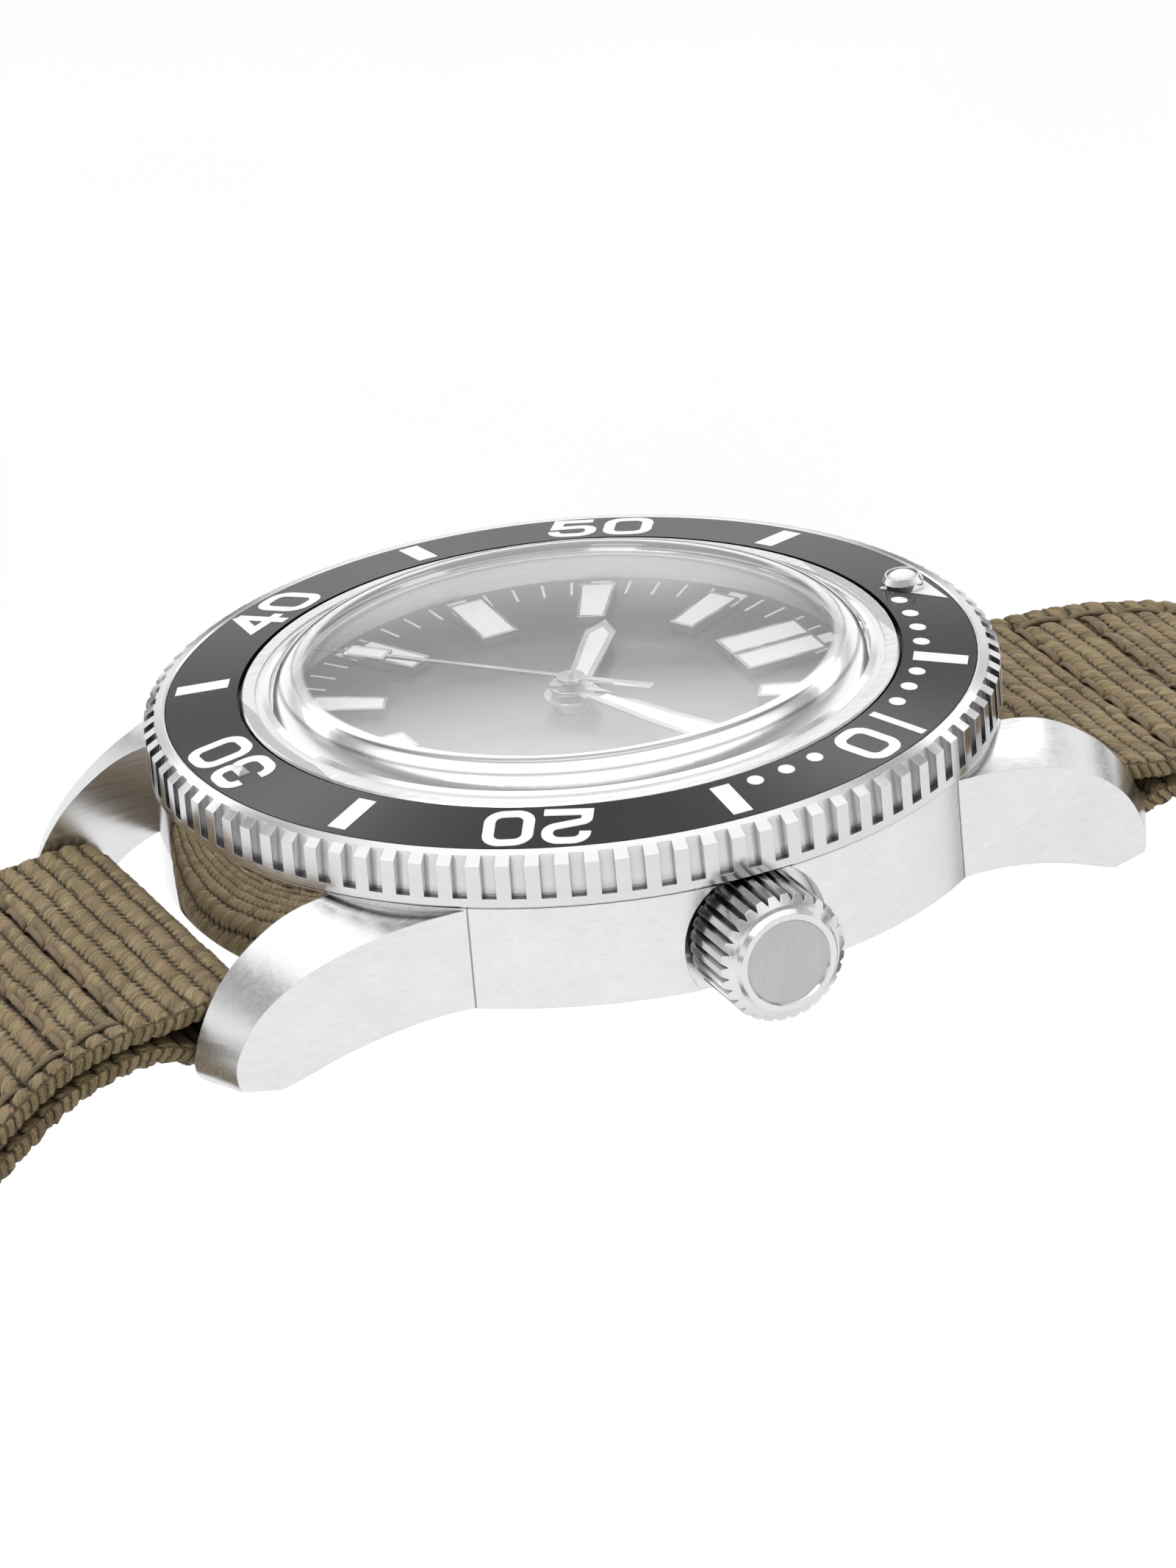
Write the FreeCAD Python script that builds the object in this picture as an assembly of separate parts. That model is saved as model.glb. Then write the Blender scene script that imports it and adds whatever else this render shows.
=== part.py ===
import FreeCAD, Part
import math
import os

# Automatic dive watch with a unidirectional bezel, screw-down crown and a
# two-piece woven strap. Millimetres. Origin: centre of the flat face of the
# screwed case back. +Z: out through the dial. +Y: 12 o'clock. +X: crown.

V = FreeCAD.Vector
Z_AXIS = V(0, 0, 1)
X_AXIS = V(1, 0, 0)

# ---- case ----
LUG_WIDTH = 20.0            # gap between the lugs
CASE_R = 19.25              # mid-case band
CASE_TOP = 7.45             # shoulder under the bezel
CASE_EDGE = 2.6             # lower edge of the band
CASE_SEAT = 1.7             # face that the case back closes
CAVITY_R = 14.2
COLLAR_R = 15.0             # neck that carries the bezel
COLLAR_TOP = 10.5
SHELF_R = 13.72             # ledge under the crystal
SHELF_Z = 9.1
CRYSTAL_R = 14.0
CRYSTAL_SEAT_R = 14.35
CRYSTAL_TOP = 12.2
INNER_TOP = 10.1            # top of the hollow under the dome
THREAD_R = 15.25            # bore for the case back's threaded wall
THREAD_TOP = 3.1
BAR_Y = 21.3                # spring bar axis
BAR_Z = 1.8
BAR_R = 0.75
BAR_TIP_R = 0.4
RUN = 0.05                  # running clearance on a radius

# ---- bezel ----
BEZEL_R = 19.5
BEZEL_BORE = 15.07
BEZEL_FOOT = 7.55
BEZEL_TEETH = 92
BEZEL_CLICKS = 60
INSERT_R = 18.5             # outer edge of the insert, at INSERT_LOW
INSERT_BORE = 15.12
INSERT_LOW = 10.0
INSERT_HIGH = 10.46
INSERT_T = 0.7
PEARL_FROM_CENTRE = 16.9
BEZEL_TURN = 0.8            # degrees that the bezel's marks stand off the dial's, anticlockwise
PEARL_R = 0.95
PEARL_LOW = 9.4             # foot of the pearl's steel rim

# ---- crown ----
CROWN_Z = 4.5               # height of the stem's axis
CROWN_R = 3.0
CROWN_FACE = 22.4
CROWN_BACK = 18.3
CROWN_TEETH = 30
RECESS_R = 3.45
TUBE_R = 1.5
STEM_R = 0.45

# ---- dial and hands ----
DIAL_R = 14.1
DIAL_LOW = 7.1
DIAL_TOP = 7.5
MARKER_H = 0.42
TIME_H, TIME_M, TIME_S = 10, 11, 38

# ---- movement ----
PLATE_R = 13.4
PLATE_LOW, PLATE_TOP = 5.6, 6.6
BRIDGE_LOW, BRIDGE_TOP = 3.1, 3.7
COVER_LOW, COVER_TOP = 2.6, 2.95
ARBOR_R = 0.11
JEWEL_BORE = 0.13
JEWEL_R = 0.55
BARREL_XY = (4.2, 6.9)
BALANCE_XY = (-2.3, -8.6)
POST_R = 0.9

# ---- strap ----
STRAP_HALF = 9.75           # half of the webbing's width
STRAP_T = 2.3               # two plies
LOOP_R = 1.85               # fold round a bar
STRAP_12 = (3.0, ((3.0, 0), (11.5, -23), (24.0, -60), (30.0, 0)))
STRAP_6 = (8.0, ((2.2, 0), (8.0, -44), (40.0, -40), (50.0, -24), (13.0, 0)))
HOLE_PITCH = 6.5
HOLE_COUNT = 8
HOLE_R = 1.0


def save(name, shape):
    shape.exportStep("parts/" + name + ".step")


# ---------- simple solids ----------

def disc(r, z0, z1, x=0.0, y=0.0):
    return Part.makeCylinder(r, z1 - z0, V(x, y, z0))


def ring(r_in, r_out, z0, z1, x=0.0, y=0.0):
    return disc(r_out, z0, z1, x, y).cut(disc(r_in, z0 - 1, z1 + 1, x, y))


def rod(r, x0, x1, y=0.0, z=CROWN_Z):
    return Part.makeCylinder(r, x1 - x0, V(x0, y, z), X_AXIS)


def block(x0, x1, y0, y1, z0, z1):
    return Part.makeBox(x1 - x0, y1 - y0, z1 - z0, V(x0, y0, z0))


def prism(points, z0, z1):
    wire = Part.makePolygon([V(x, y, z0) for x, y in points + points[:1]])
    return Part.Face(wire).extrude(V(0, 0, z1 - z0))


def turned(points):
    """Solid of revolution about Z from (radius, height) corners."""
    wire = Part.makePolygon([V(r, 0, z) for r, z in points + points[:1]])
    return Part.Face(wire).revolve(V(0, 0, 0), Z_AXIS, 360)


def turned_x(points):
    """Solid of revolution about the stem's axis from (x, radius) corners."""
    wire = Part.makePolygon([V(x, 0, CROWN_Z + r) for x, r in points + points[:1]])
    return Part.Face(wire).revolve(V(0, 0, CROWN_Z), X_AXIS, 360)


def fuse(shapes):
    return shapes[0].multiFuse(shapes[1:]).removeSplitter()


def cut(shape, tools):
    return shape.cut(Part.makeCompound(tools))


def spun(shape, count, first=0.0):
    copies = []
    for k in range(count):
        copy = shape.copy()
        copy.rotate(V(0, 0, 0), Z_AXIS, first + 360.0 * k / count)
        copies.append(copy)
    return copies


def polar(radius, degrees):
    a = math.radians(degrees)
    return radius * math.cos(a), radius * math.sin(a)


def stadium(p, q, r, z0, z1):
    """Bar with round ends from p to q."""
    dx, dy = q[0] - p[0], q[1] - p[1]
    length = math.hypot(dx, dy)
    nx, ny = -dy / length * r, dx / length * r
    side = [(p[0] + nx, p[1] + ny), (q[0] + nx, q[1] + ny),
            (q[0] - nx, q[1] - ny), (p[0] - nx, p[1] - ny)]
    ends = [disc(r, z0, z1, *p), disc(r, z0, z1, *q)]
    return fuse([prism(side, z0, z1)] + ends)


# ---------- gears ----------

def gear(teeth, module, z0, z1, centre=(0.0, 0.0), phase=0.0):
    """Flat gear. A tooth points at angle phase, in radians."""
    pitch = 2 * math.pi / teeth
    tip = module * (teeth / 2 + 0.85)
    root = module * (teeth / 2 - 1.15)
    points = []
    for k in range(teeth):
        a = phase + k * pitch
        for r, w in ((root, -0.30), (tip, -0.11), (tip, 0.11), (root, 0.30)):
            b = a + w * pitch
            points.append((centre[0] + r * math.cos(b), centre[1] + r * math.sin(b)))
    return prism(points, z0, z1)


def bearing(a, b):
    return math.atan2(b[1] - a[1], b[0] - a[0])


def mesh_phase(a, b, teeth_a, teeth_b, phase_a=0.0):
    """Phase of gear b that puts its gap on gear a's tooth."""
    alpha = bearing(a, b)
    return alpha + math.pi - ((phase_a - alpha) * teeth_a + math.pi) / teeth_b


def meet(a, ra, b, rb, side):
    """Point at ra from a and rb from b, left (+1) or right (-1) of a to b."""
    dx, dy = b[0] - a[0], b[1] - a[1]
    d = math.hypot(dx, dy)
    along = (ra * ra - rb * rb + d * d) / (2 * d)
    off = side * math.sqrt(ra * ra - along * along)
    return (a[0] + (along * dx - off * dy) / d, a[1] + (along * dy + off * dx) / d)


def spoked(wheel, centre, rim_r, z0, z1, spokes=5):
    """Lightened wheel: round windows between hub and rim."""
    tools = []
    for k in range(spokes):
        x, y = polar(rim_r * 0.58, 360.0 * k / spokes + 18)
        tools.append(disc(rim_r * 0.24, z0 - 1, z1 + 1, centre[0] + x, centre[1] + y))
    return cut(wheel, tools)


# teeth and modules of the train, barrel first
BARREL_N, SECOND_P, M1 = 84, 12, 0.11
SECOND_N, THIRD_P, M2 = 80, 10, 0.09
THIRD_N, FOURTH_P, M3 = 75, 10, 0.085
FOURTH_N, ESCAPE_P, M4 = 84, 7, 0.075
CANNON_P, MINUTE_N, M5 = 12, 36, 0.125
MINUTE_P, HOUR_N, M6 = 12, 48, 0.1
CROWN_N, RATCHET_N, M7 = 38, 38, 0.2

CENTRE = (0.0, 0.0)
THIRD_XY = polar(M3 * (THIRD_N + FOURTH_P) / 2, 138)
SECOND_XY = meet(BARREL_XY, M1 * (BARREL_N + SECOND_P) / 2,
                 THIRD_XY, M2 * (SECOND_N + THIRD_P) / 2, -1)
ESCAPE_XY = polar(M4 * (FOURTH_N + ESCAPE_P) / 2, 250)
MINUTE_XY = polar(M5 * (CANNON_P + MINUTE_N) / 2, -30)
WHEEL_GAP = M7 * (CROWN_N + RATCHET_N) / 2
CROWN_WHEEL_XY = (BARREL_XY[0] + math.sqrt(WHEEL_GAP ** 2 - BARREL_XY[1] ** 2), 0.0)
PINION_X = CROWN_WHEEL_XY[0] + M7 * CROWN_N / 2   # where the stem's pinion meets the wheel
ESCAPE_R = 2.0


def toward(a, b, distance):
    angle = bearing(a, b)
    return (a[0] + distance * math.cos(angle), a[1] + distance * math.sin(angle))


PALLET_XY = toward(ESCAPE_XY, BALANCE_XY, 2.65)
COVER_POSTS = (polar(12.2, 35), polar(12.0, 98))
BRIDGE_POSTS = (polar(12.0, 128), polar(11.8, 212))
COCK_POST = polar(12.0, 290)


# ---------- case ----------

def spline(points, x_of):
    curve = Part.BSplineCurve()
    curve.interpolate([V(x_of(y), y, z) for y, z in points])
    return curve.toShape()


def lug_wire(top, tip, foot, under, x_of):
    """Closed side outline of a lug, from its top, tip, foot and underside."""
    def line(p, q):
        return Part.makeLine(V(x_of(p[0]), p[0], p[1]), V(x_of(q[0]), q[0], q[1]))
    edges = [spline(top, x_of), spline([top[-1]] + tip, x_of), line(tip[-1], foot),
             spline([foot] + under, x_of), line(under[-1], top[0])]
    return Part.Wire(edges)


def make_lug():
    """The lug at 12 o'clock on the crown side."""
    inner = lug_wire(
        [(11.0, 7.3), (14.0, 7.38), (16.6, 7.34), (18.4, 7.0), (20.1, 6.15),
         (21.6, 4.9), (22.7, 3.4), (23.3, 2.1)],
        [(23.52, 1.3), (23.55, 0.7), (23.2, 0.1)], (21.0, 0.0),
        [(20.0, 1.05), (18.9, 2.0), (17.3, 2.8), (14.5, 3.0), (11.0, 3.0)],
        lambda y: LUG_WIDTH / 2)
    outer = lug_wire(
        [(12.0, 7.36), (13.2, 7.2), (14.8, 6.9), (16.5, 6.42), (18.3, 5.72),
         (20.0, 4.7), (21.3, 3.5), (22.1, 2.2)],
        [(22.38, 1.5), (22.45, 0.9), (22.3, 0.15)], (20.6, 0.0),
        [(19.6, 0.4), (18.5, 0.92), (16.7, 1.62), (14.85, 2.17), (12.0, 2.6)],
        lambda y: 15.0 - (y - 12.0) * 2.8 / 10.5)
    return Part.makeLoft([inner, outer], True, True)


def make_lugs():
    lug = make_lug()
    left = lug.mirror(V(0, 0, 0), X_AXIS)
    return [lug, left, lug.mirror(V(0, 0, 0), V(0, 1, 0)), left.mirror(V(0, 0, 0), V(0, 1, 0))]


def make_case():
    body = turned([(0, CASE_SEAT), (17.0, CASE_SEAT), (CASE_R, CASE_EDGE),
                   (CASE_R, CASE_TOP), (COLLAR_R, CASE_TOP), (COLLAR_R, COLLAR_TOP - 0.1),
                   (COLLAR_R - 0.1, COLLAR_TOP), (0, COLLAR_TOP)])
    body = fuse([body] + make_lugs())
    holes = [rod(BAR_TIP_R + RUN, side - 1.3, side + 1.3, y, BAR_Z)
             for side in (-LUG_WIDTH / 2, LUG_WIDTH / 2) for y in (-BAR_Y, BAR_Y)]
    tools = [disc(CAVITY_R, 0, SHELF_Z - 0.2), disc(SHELF_R, 0, 20),
             disc(CRYSTAL_SEAT_R, SHELF_Z, 20), disc(THREAD_R, 0, THREAD_TOP),
             ring(15.4, 16.1, 1.0, 2.3), rod(RECESS_R, 17.9, 25), rod(TUBE_R, 12.0, 19.0),
             ring(14.75, 16, 8.3, 8.9), click_recess()]
    return cut(body, tools + holes)


def sector(r_in, r_out, z0, z1, start, sweep):
    """Part of a flat ring."""
    outer = Part.makeCylinder(r_out, z1 - z0, V(0, 0, z0), Z_AXIS, sweep)
    outer.rotate(V(0, 0, 0), Z_AXIS, start)
    return outer.cut(disc(r_in, z0 - 1, z1 + 1))


def click_recess():
    return sector(15.6, 17.6, 6.9, 8.0, 20, 60)


def make_click_spring():
    leaf = sector(16.3, 16.9, 7.1, 7.25, 24, 48)
    foot = sector(16.0, 17.2, 6.9, 7.25, 22, 10)
    tip = sector(16.3, 16.9, 7.1, BEZEL_FOOT - RUN, 70, 2.5)
    return fuse([leaf, foot, tip])


def make_case_back():
    body = turned([(0, 0), (13.4, 0), (16.4, 1.25), (16.4, 1.65), (15.2, 1.65), (15.2, 3.0),
                   (14.4, 3.0), (14.4, 1.2), (0, 1.2)])
    slot = block(13.6, 15.2, -1.3, 1.3, -1, 0.75)
    groove = ring(9.6, 10.0, -1, 0.12)
    return cut(body, spun(slot, 6) + [groove])


def make_back_gasket():
    return Part.makeTorus(15.75, 0.28, V(0, 0, 1.96))


def make_crown_tube():
    return turned_x([(14.25, 0.6), (14.25, TUBE_R), (20.3, TUBE_R), (20.3, 0.6)])


def make_spring_bar(y):
    body = rod(BAR_R, -9.85, 9.85, y, BAR_Z)
    collar = [rod(0.6, -10.0, 10.0, y, BAR_Z), rod(BAR_TIP_R, -11.0, 11.0, y, BAR_Z)]
    return fuse([body] + collar)


# ---------- bezel ----------

PEARL_XY = polar(PEARL_FROM_CENTRE, 90 + BEZEL_TURN)


def insert_height(r):
    share = (INSERT_R - r) / (INSERT_R - INSERT_BORE)
    return INSERT_LOW + share * (INSERT_HIGH - INSERT_LOW)


def make_bezel_ring():
    seat_out = INSERT_LOW - INSERT_T
    seat_in = INSERT_HIGH - INSERT_T
    body = turned([(BEZEL_BORE, 7.75), (BEZEL_BORE, seat_in), (INSERT_R, seat_out),
                   (INSERT_R, INSERT_LOW), (18.6, INSERT_LOW + 0.04), (19.05, 9.9),
                   (BEZEL_R, 9.6), (BEZEL_R, 7.65), (BEZEL_R - 0.1, BEZEL_FOOT),
                   (15.6, BEZEL_FOOT), (15.6, 7.75)])
    half = 0.33
    groove = Part.makePolygon([V(18.98, -half, 9.95), V(19.12, -half, 8.02), V(21, -half, 8.02),
                               V(21, -half, 11), V(18.98, -half, 11), V(18.98, -half, 9.95)])
    groove = Part.Face(groove).extrude(V(0, 2 * half, 0))
    click = prism([(16.1, -0.05), (17.1, -0.05), (17.1, 0.75), (16.1, 0.75)], 7.5, 7.8)
    wire_groove = ring(14.9, 15.4, 8.3, 8.9)
    pearl_seat = disc(PEARL_R, PEARL_LOW, 20, *PEARL_XY)
    body = cut(body, spun(groove, BEZEL_TEETH) + [wire_groove, pearl_seat])
    return cut(body, spun(click, BEZEL_CLICKS))


def make_bezel_insert():
    bore, rim = INSERT_BORE + 0.03, INSERT_R - 0.04
    low_in = insert_height(bore) - INSERT_T
    low_out = insert_height(rim) - INSERT_T
    body = turned([(bore, low_in), (bore, insert_height(bore)), (rim, insert_height(rim)),
                   (rim, low_out)])
    return body.cut(disc(PEARL_R, 0, 20, *PEARL_XY))


def make_pearl_rim():
    body = disc(PEARL_R, PEARL_LOW, 10.55, *PEARL_XY)
    body = fuse([body, Part.makeCone(PEARL_R, 0.8, 0.3, V(*PEARL_XY, 10.55))])
    return body.cut(disc(0.7, 10.3, 20, *PEARL_XY))


def make_pearl():
    stem = disc(0.7, 10.3, 10.7, *PEARL_XY)
    ball_r = 0.97
    ball = Part.makeSphere(ball_r, V(*PEARL_XY, 10.7 - math.sqrt(ball_r ** 2 - 0.7 ** 2)))
    return fuse([stem, ball.common(disc(0.7, 10.6, 20, *PEARL_XY))])


def make_bezel_wire():
    wire = Part.makeTorus(15.04, 0.24, V(0, 0, 8.6))
    return wire.cut(block(-0.4, 0.4, -20, 0, 0, 20))


# ---------- crystal and dial ----------

def arc_through(points):
    a, b, c = [V(r, 0, z) for r, z in points]
    return Part.Arc(a, b, c).toShape()


def dome(start, end):
    """Start, middle and end of a spherical cap's arc between its top and rim."""
    top, rim = (start, end) if start[0] < end[0] else (end, start)
    sag = top[1] - rim[1]
    radius = (rim[0] ** 2 + sag ** 2) / (2 * sag)
    half = rim[0] / 2
    middle_z = top[1] - radius + math.sqrt(radius ** 2 - half ** 2)
    return [start, (half, middle_z), end]


def make_crystal():
    def line(p, q):
        return Part.makeLine(V(p[0], 0, p[1]), V(q[0], 0, q[1]))
    wall_in = 12.7
    shoulder = (12.1, 11.55)
    edges = [line((0, INNER_TOP), (0, CRYSTAL_TOP)),
             arc_through(dome((0, CRYSTAL_TOP), shoulder)),
             arc_through([shoulder, (13.15, 11.2), (13.7, 10.6)]),
             line((13.7, 10.6), (CRYSTAL_R, 10.5)), line((CRYSTAL_R, 10.5), (CRYSTAL_R, SHELF_Z)),
             line((CRYSTAL_R, SHELF_Z), (wall_in, SHELF_Z)),
             line((wall_in, SHELF_Z), (wall_in, 9.5)),
             arc_through(dome((wall_in, 9.5), (0, INNER_TOP)))]
    return Part.Face(Part.Wire(edges)).revolve(V(0, 0, 0), Z_AXIS, 360)


def make_rehaut():
    return turned([(13.25, DIAL_TOP), (13.7, 8.9), (14.15, 8.9), (14.15, DIAL_TOP)])


def make_dial():
    return ring(0.85, DIAL_R, DIAL_LOW, DIAL_TOP)


def marker_plans():
    """Outline of each lume field at 12 o'clock place, with its turn in degrees."""
    plans = []
    for hour in range(1, 12):
        if hour % 3:
            plan = [(-0.52, 8.5), (0.52, 8.5), (0.7, 11.7), (-0.7, 11.7)]
        else:
            plan = [(-0.75, 8.0), (0.75, 8.0), (0.75, 11.7), (-0.75, 11.7)]
        plans.append((plan, -30.0 * hour))
    for x in (-0.93, 0.93):
        plan = [(x - 0.75, 8.0), (x + 0.75, 8.0), (x + 0.75, 11.7), (x - 0.75, 11.7)]
        plans.append((plan, 0.0))
    return plans


def grown(plan, d):
    """Rectangle or trapezium moved out by d on every side."""
    cx = sum(p[0] for p in plan) / 4
    cy = sum(p[1] for p in plan) / 4
    return [(x + math.copysign(d, x - cx), y + math.copysign(d, y - cy)) for x, y in plan]


def make_markers():
    frames = []
    fields = []
    for plan, turn in marker_plans():
        top = DIAL_TOP + MARKER_H
        field = prism(plan, top - 0.2, top - 0.03)
        frame = prism(grown(plan, 0.13), DIAL_TOP, top).cut(prism(plan, top - 0.2, top + 1))
        for shape, bin_ in ((field, fields), (frame, frames)):
            shape.rotate(V(0, 0, 0), Z_AXIS, turn)
            bin_.append(shape)
    double = fuse(frames[-2:])
    return Part.makeCompound(frames[:-2] + [double]), Part.makeCompound(fields)


HAND_H = (7.95, 8.1)
HAND_M = (8.32, 8.46)
HAND_S = (8.68, 8.8)


def hand_angle(share):
    return -360.0 * share


def turned_hand(shape, share):
    shape.rotate(V(0, 0, 0), Z_AXIS, hand_angle(share))
    return shape


def sword(length, base, wide, wide_at, z):
    return prism([(-base, 0.4), (-wide, wide_at), (0, length), (wide, wide_at), (base, 0.4)], *z)


def make_hour_hand():
    share = (TIME_H + TIME_M / 60 + TIME_S / 3600) / 12
    hub = ring(0.75, 1.25, *HAND_H)
    body = sword(7.6, 0.5, 0.72, 6.4, HAND_H).cut(disc(0.9, 0, 20))
    slot = prism([(-0.3, 1.7), (-0.46, 6.2), (0, 6.9), (0.46, 6.2), (0.3, 1.7)], 0, 20)
    lume = prism([(-0.3, 1.7), (-0.46, 6.2), (0, 6.9), (0.46, 6.2), (0.3, 1.7)],
                 HAND_H[0] + 0.02, HAND_H[1] - 0.02)
    return turned_hand(fuse([hub, body]).cut(slot), share), turned_hand(lume, share)


def make_minute_hand():
    share = (TIME_M + TIME_S / 60) / 60
    hub = ring(0.38, 1.0, *HAND_M)
    body = sword(12.1, 0.42, 0.85, 8.6, HAND_M).cut(disc(0.6, 0, 20))
    plan = [(-0.24, 2.0), (-0.58, 8.5), (0, 11.1), (0.58, 8.5), (0.24, 2.0)]
    lume = prism(plan, HAND_M[0] + 0.02, HAND_M[1] - 0.02)
    return turned_hand(fuse([hub, body]).cut(prism(plan, 0, 20)), share), turned_hand(lume, share)


def make_seconds_hand():
    share = TIME_S / 60
    hub = disc(0.62, *HAND_S).cut(disc(ARBOR_R, 0, 20))
    needle = prism([(-0.13, 0.3), (-0.06, 12.9), (0.06, 12.9), (0.13, 0.3)], *HAND_S)
    tail = prism([(-0.12, -0.3), (-0.2, -4.0), (0.2, -4.0), (0.12, -0.3)], *HAND_S)
    box = prism([(-0.5, 9.0), (-0.5, 11.0), (0.5, 11.0), (0.5, 9.0)], HAND_S[0], HAND_S[1] + 0.04)
    plan = [(-0.38, 9.12), (-0.38, 10.88), (0.38, 10.88), (0.38, 9.12)]
    lume = prism(plan, HAND_S[0] + 0.01, HAND_S[1] + 0.02)
    arm = fuse([needle, tail]).cut(disc(0.3, 0, 20))
    body = fuse([hub, arm, box]).cut(prism(plan, 0, 20))
    return turned_hand(body, share), turned_hand(lume, share)


# ---------- movement ----------

def pivot_places():
    return [SECOND_XY, THIRD_XY, CENTRE, ESCAPE_XY]


def make_mainplate():
    plate = disc(PLATE_R, PLATE_LOW, PLATE_TOP)
    stem_block = block(12.2, 13.1, -1.6, 1.6, 3.6, PLATE_LOW + 0.1)
    minute_post = disc(0.2, PLATE_TOP - 0.1, 7.05, *MINUTE_XY)
    plate = fuse([plate, stem_block, minute_post])
    tools = [disc(JEWEL_R, PLATE_LOW - 1, PLATE_LOW + 0.3, *p) for p in jewel_places()]
    tools += [disc(0.3, PLATE_LOW - 1, PLATE_TOP + 0.01, *p) for p in jewel_places()]
    tools += [disc(0.5 + RUN, PLATE_LOW - 1, PLATE_TOP + 1, *BARREL_XY)]
    tools += [disc(0.3, 5, PLATE_LOW + 0.5, *p) for p in COVER_POSTS + BRIDGE_POSTS + (COCK_POST,)]
    tools += [rod(STEM_R + RUN, 10, 14)]
    return cut(plate, tools)


def jewel_places():
    return pivot_places() + [PALLET_XY, BALANCE_XY]


def make_movement_ring():
    return ring(PLATE_R + 0.05, 14.15, 3.2, DIAL_LOW).cut(rod(0.7, 10, 16))


def post(place, low):
    return disc(POST_R, low, PLATE_LOW, *place)


def screw_hole(place, low):
    return [disc(0.6, low - 1, low + 0.3, *place), disc(0.3, low, PLATE_LOW + 1, *place)]


def make_barrel_bridge():
    parts = [disc(4.2, COVER_LOW, COVER_TOP, *BARREL_XY),
             disc(2.9, COVER_LOW, COVER_TOP, *CROWN_WHEEL_XY),
             stadium(BARREL_XY, CROWN_WHEEL_XY, 2.0, COVER_LOW, COVER_TOP)]
    for place in COVER_POSTS:
        parts.append(stadium(BARREL_XY, place, POST_R, COVER_LOW, COVER_TOP))
        parts.append(post(place, COVER_LOW))
    tools = [disc(0.5 + RUN, 0, 4, *BARREL_XY)]
    for place in COVER_POSTS:
        tools += screw_hole(place, COVER_LOW)
    crown_post = disc(0.5, COVER_TOP - 0.1, 3.5, *CROWN_WHEEL_XY)
    return fuse([cut(fuse(parts), tools), crown_post])


def make_train_bridge():
    places = [SECOND_XY, THIRD_XY, CENTRE, ESCAPE_XY]
    parts = [stadium(a, b, 1.1, BRIDGE_LOW, BRIDGE_TOP) for a, b in zip(places, places[1:])]
    parts.append(stadium(SECOND_XY, BRIDGE_POSTS[0], POST_R, BRIDGE_LOW, BRIDGE_TOP))
    parts.append(stadium(ESCAPE_XY, BRIDGE_POSTS[1], POST_R, BRIDGE_LOW, BRIDGE_TOP))
    parts += [post(place, BRIDGE_LOW) for place in BRIDGE_POSTS]
    tools = [disc(JEWEL_R, BRIDGE_LOW - 1, BRIDGE_LOW + 0.3, *p) for p in pivot_places()]
    tools += [disc(0.3, BRIDGE_LOW - 1, BRIDGE_TOP + 1, *p) for p in pivot_places()]
    for place in BRIDGE_POSTS:
        tools += screw_hole(place, BRIDGE_LOW)
    return cut(fuse(parts), tools)


def make_balance_cock():
    low, top = 2.7, 3.3
    arm = stadium(BALANCE_XY, COCK_POST, 1.2, low, top)
    body = fuse([arm, post(COCK_POST, low)])
    tools = [disc(JEWEL_R, low - 1, low + 0.3, *BALANCE_XY), disc(0.3, 0, 4, *BALANCE_XY)]
    return cut(body, tools + screw_hole(COCK_POST, low))


def make_pallet_bridge():
    foot = toward(PALLET_XY, (13.0, -4.0), 3.2)
    arm = stadium(PALLET_XY, foot, 0.7, 4.45, 4.75)
    leg = disc(0.7, 4.45, PLATE_LOW, *foot)
    return fuse([arm, leg]).cut(disc(JEWEL_BORE, 0, 20, *PALLET_XY))


def make_screws():
    screws = []
    lows = [COVER_LOW] * 2 + [BRIDGE_LOW] * 2 + [2.7]
    for place, low in zip(COVER_POSTS + BRIDGE_POSTS + (COCK_POST,), lows):
        head = disc(0.55, low + 0.05, low + 0.3, *place)
        slot = block(place[0] - 1, place[0] + 1, place[1] - 0.08, place[1] + 0.08,
                     low - 1, low + 0.15)
        screws.append(fuse([head.cut(slot), disc(0.3, low + 0.3, PLATE_LOW + 0.5, *place)]))
    return Part.makeCompound(screws)


def make_jewels():
    def jewel(place, z):
        return ring(JEWEL_BORE, JEWEL_R, z, z + 0.3, *place)
    jewels = [jewel(p, PLATE_LOW) for p in jewel_places()]
    jewels += [jewel(p, BRIDGE_LOW) for p in pivot_places()]
    jewels.append(jewel(BALANCE_XY, 2.7))
    return Part.makeCompound(jewels)


def make_barrel():
    drum = disc(4.3, 4.15, 5.45, *BARREL_XY)
    teeth = gear(BARREL_N, M1, 5.1, 5.4, BARREL_XY)
    body = fuse([drum, teeth])
    hollow = disc(3.9, 4.35, 5.2, *BARREL_XY)
    return cut(body, [hollow, disc(0.5 + RUN, 0, 9, *BARREL_XY)])


def spiral(centre, r0, r1, turns, width, z0, z1):
    """Flat spiral of half circles, r0 to r1."""
    steps = int(2 * turns)
    grow = (r1 - r0) / steps
    outer, inner = [], []
    cx, cy = centre
    left = cx - r0
    for k in range(steps):
        r = r0 + grow * (k + 0.5)
        sign = 1 if k % 2 == 0 else -1
        right = left + sign * 2 * r
        mid = (left + right) / 2
        for d, bin_ in ((width / 2, outer), (-width / 2, inner)):
            a = V(left - sign * d, cy, z0)
            b = V(mid, cy + sign * (r + d), z0)
            c = V(right + sign * d, cy, z0)
            bin_.append(Part.Arc(a, b, c).toShape())
        left = right
    start = Part.makeLine(inner[0].Vertexes[0].Point, outer[0].Vertexes[0].Point)
    end = Part.makeLine(outer[-1].Vertexes[-1].Point, inner[-1].Vertexes[-1].Point)
    wire = Part.Wire(Part.__sortEdges__([start] + outer + [end] + inner))
    return Part.Face(wire).extrude(V(0, 0, z1 - z0))


def make_mainspring():
    return spiral(BARREL_XY, 1.3, 3.7, 6, 0.1, 4.45, 5.1)


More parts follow.
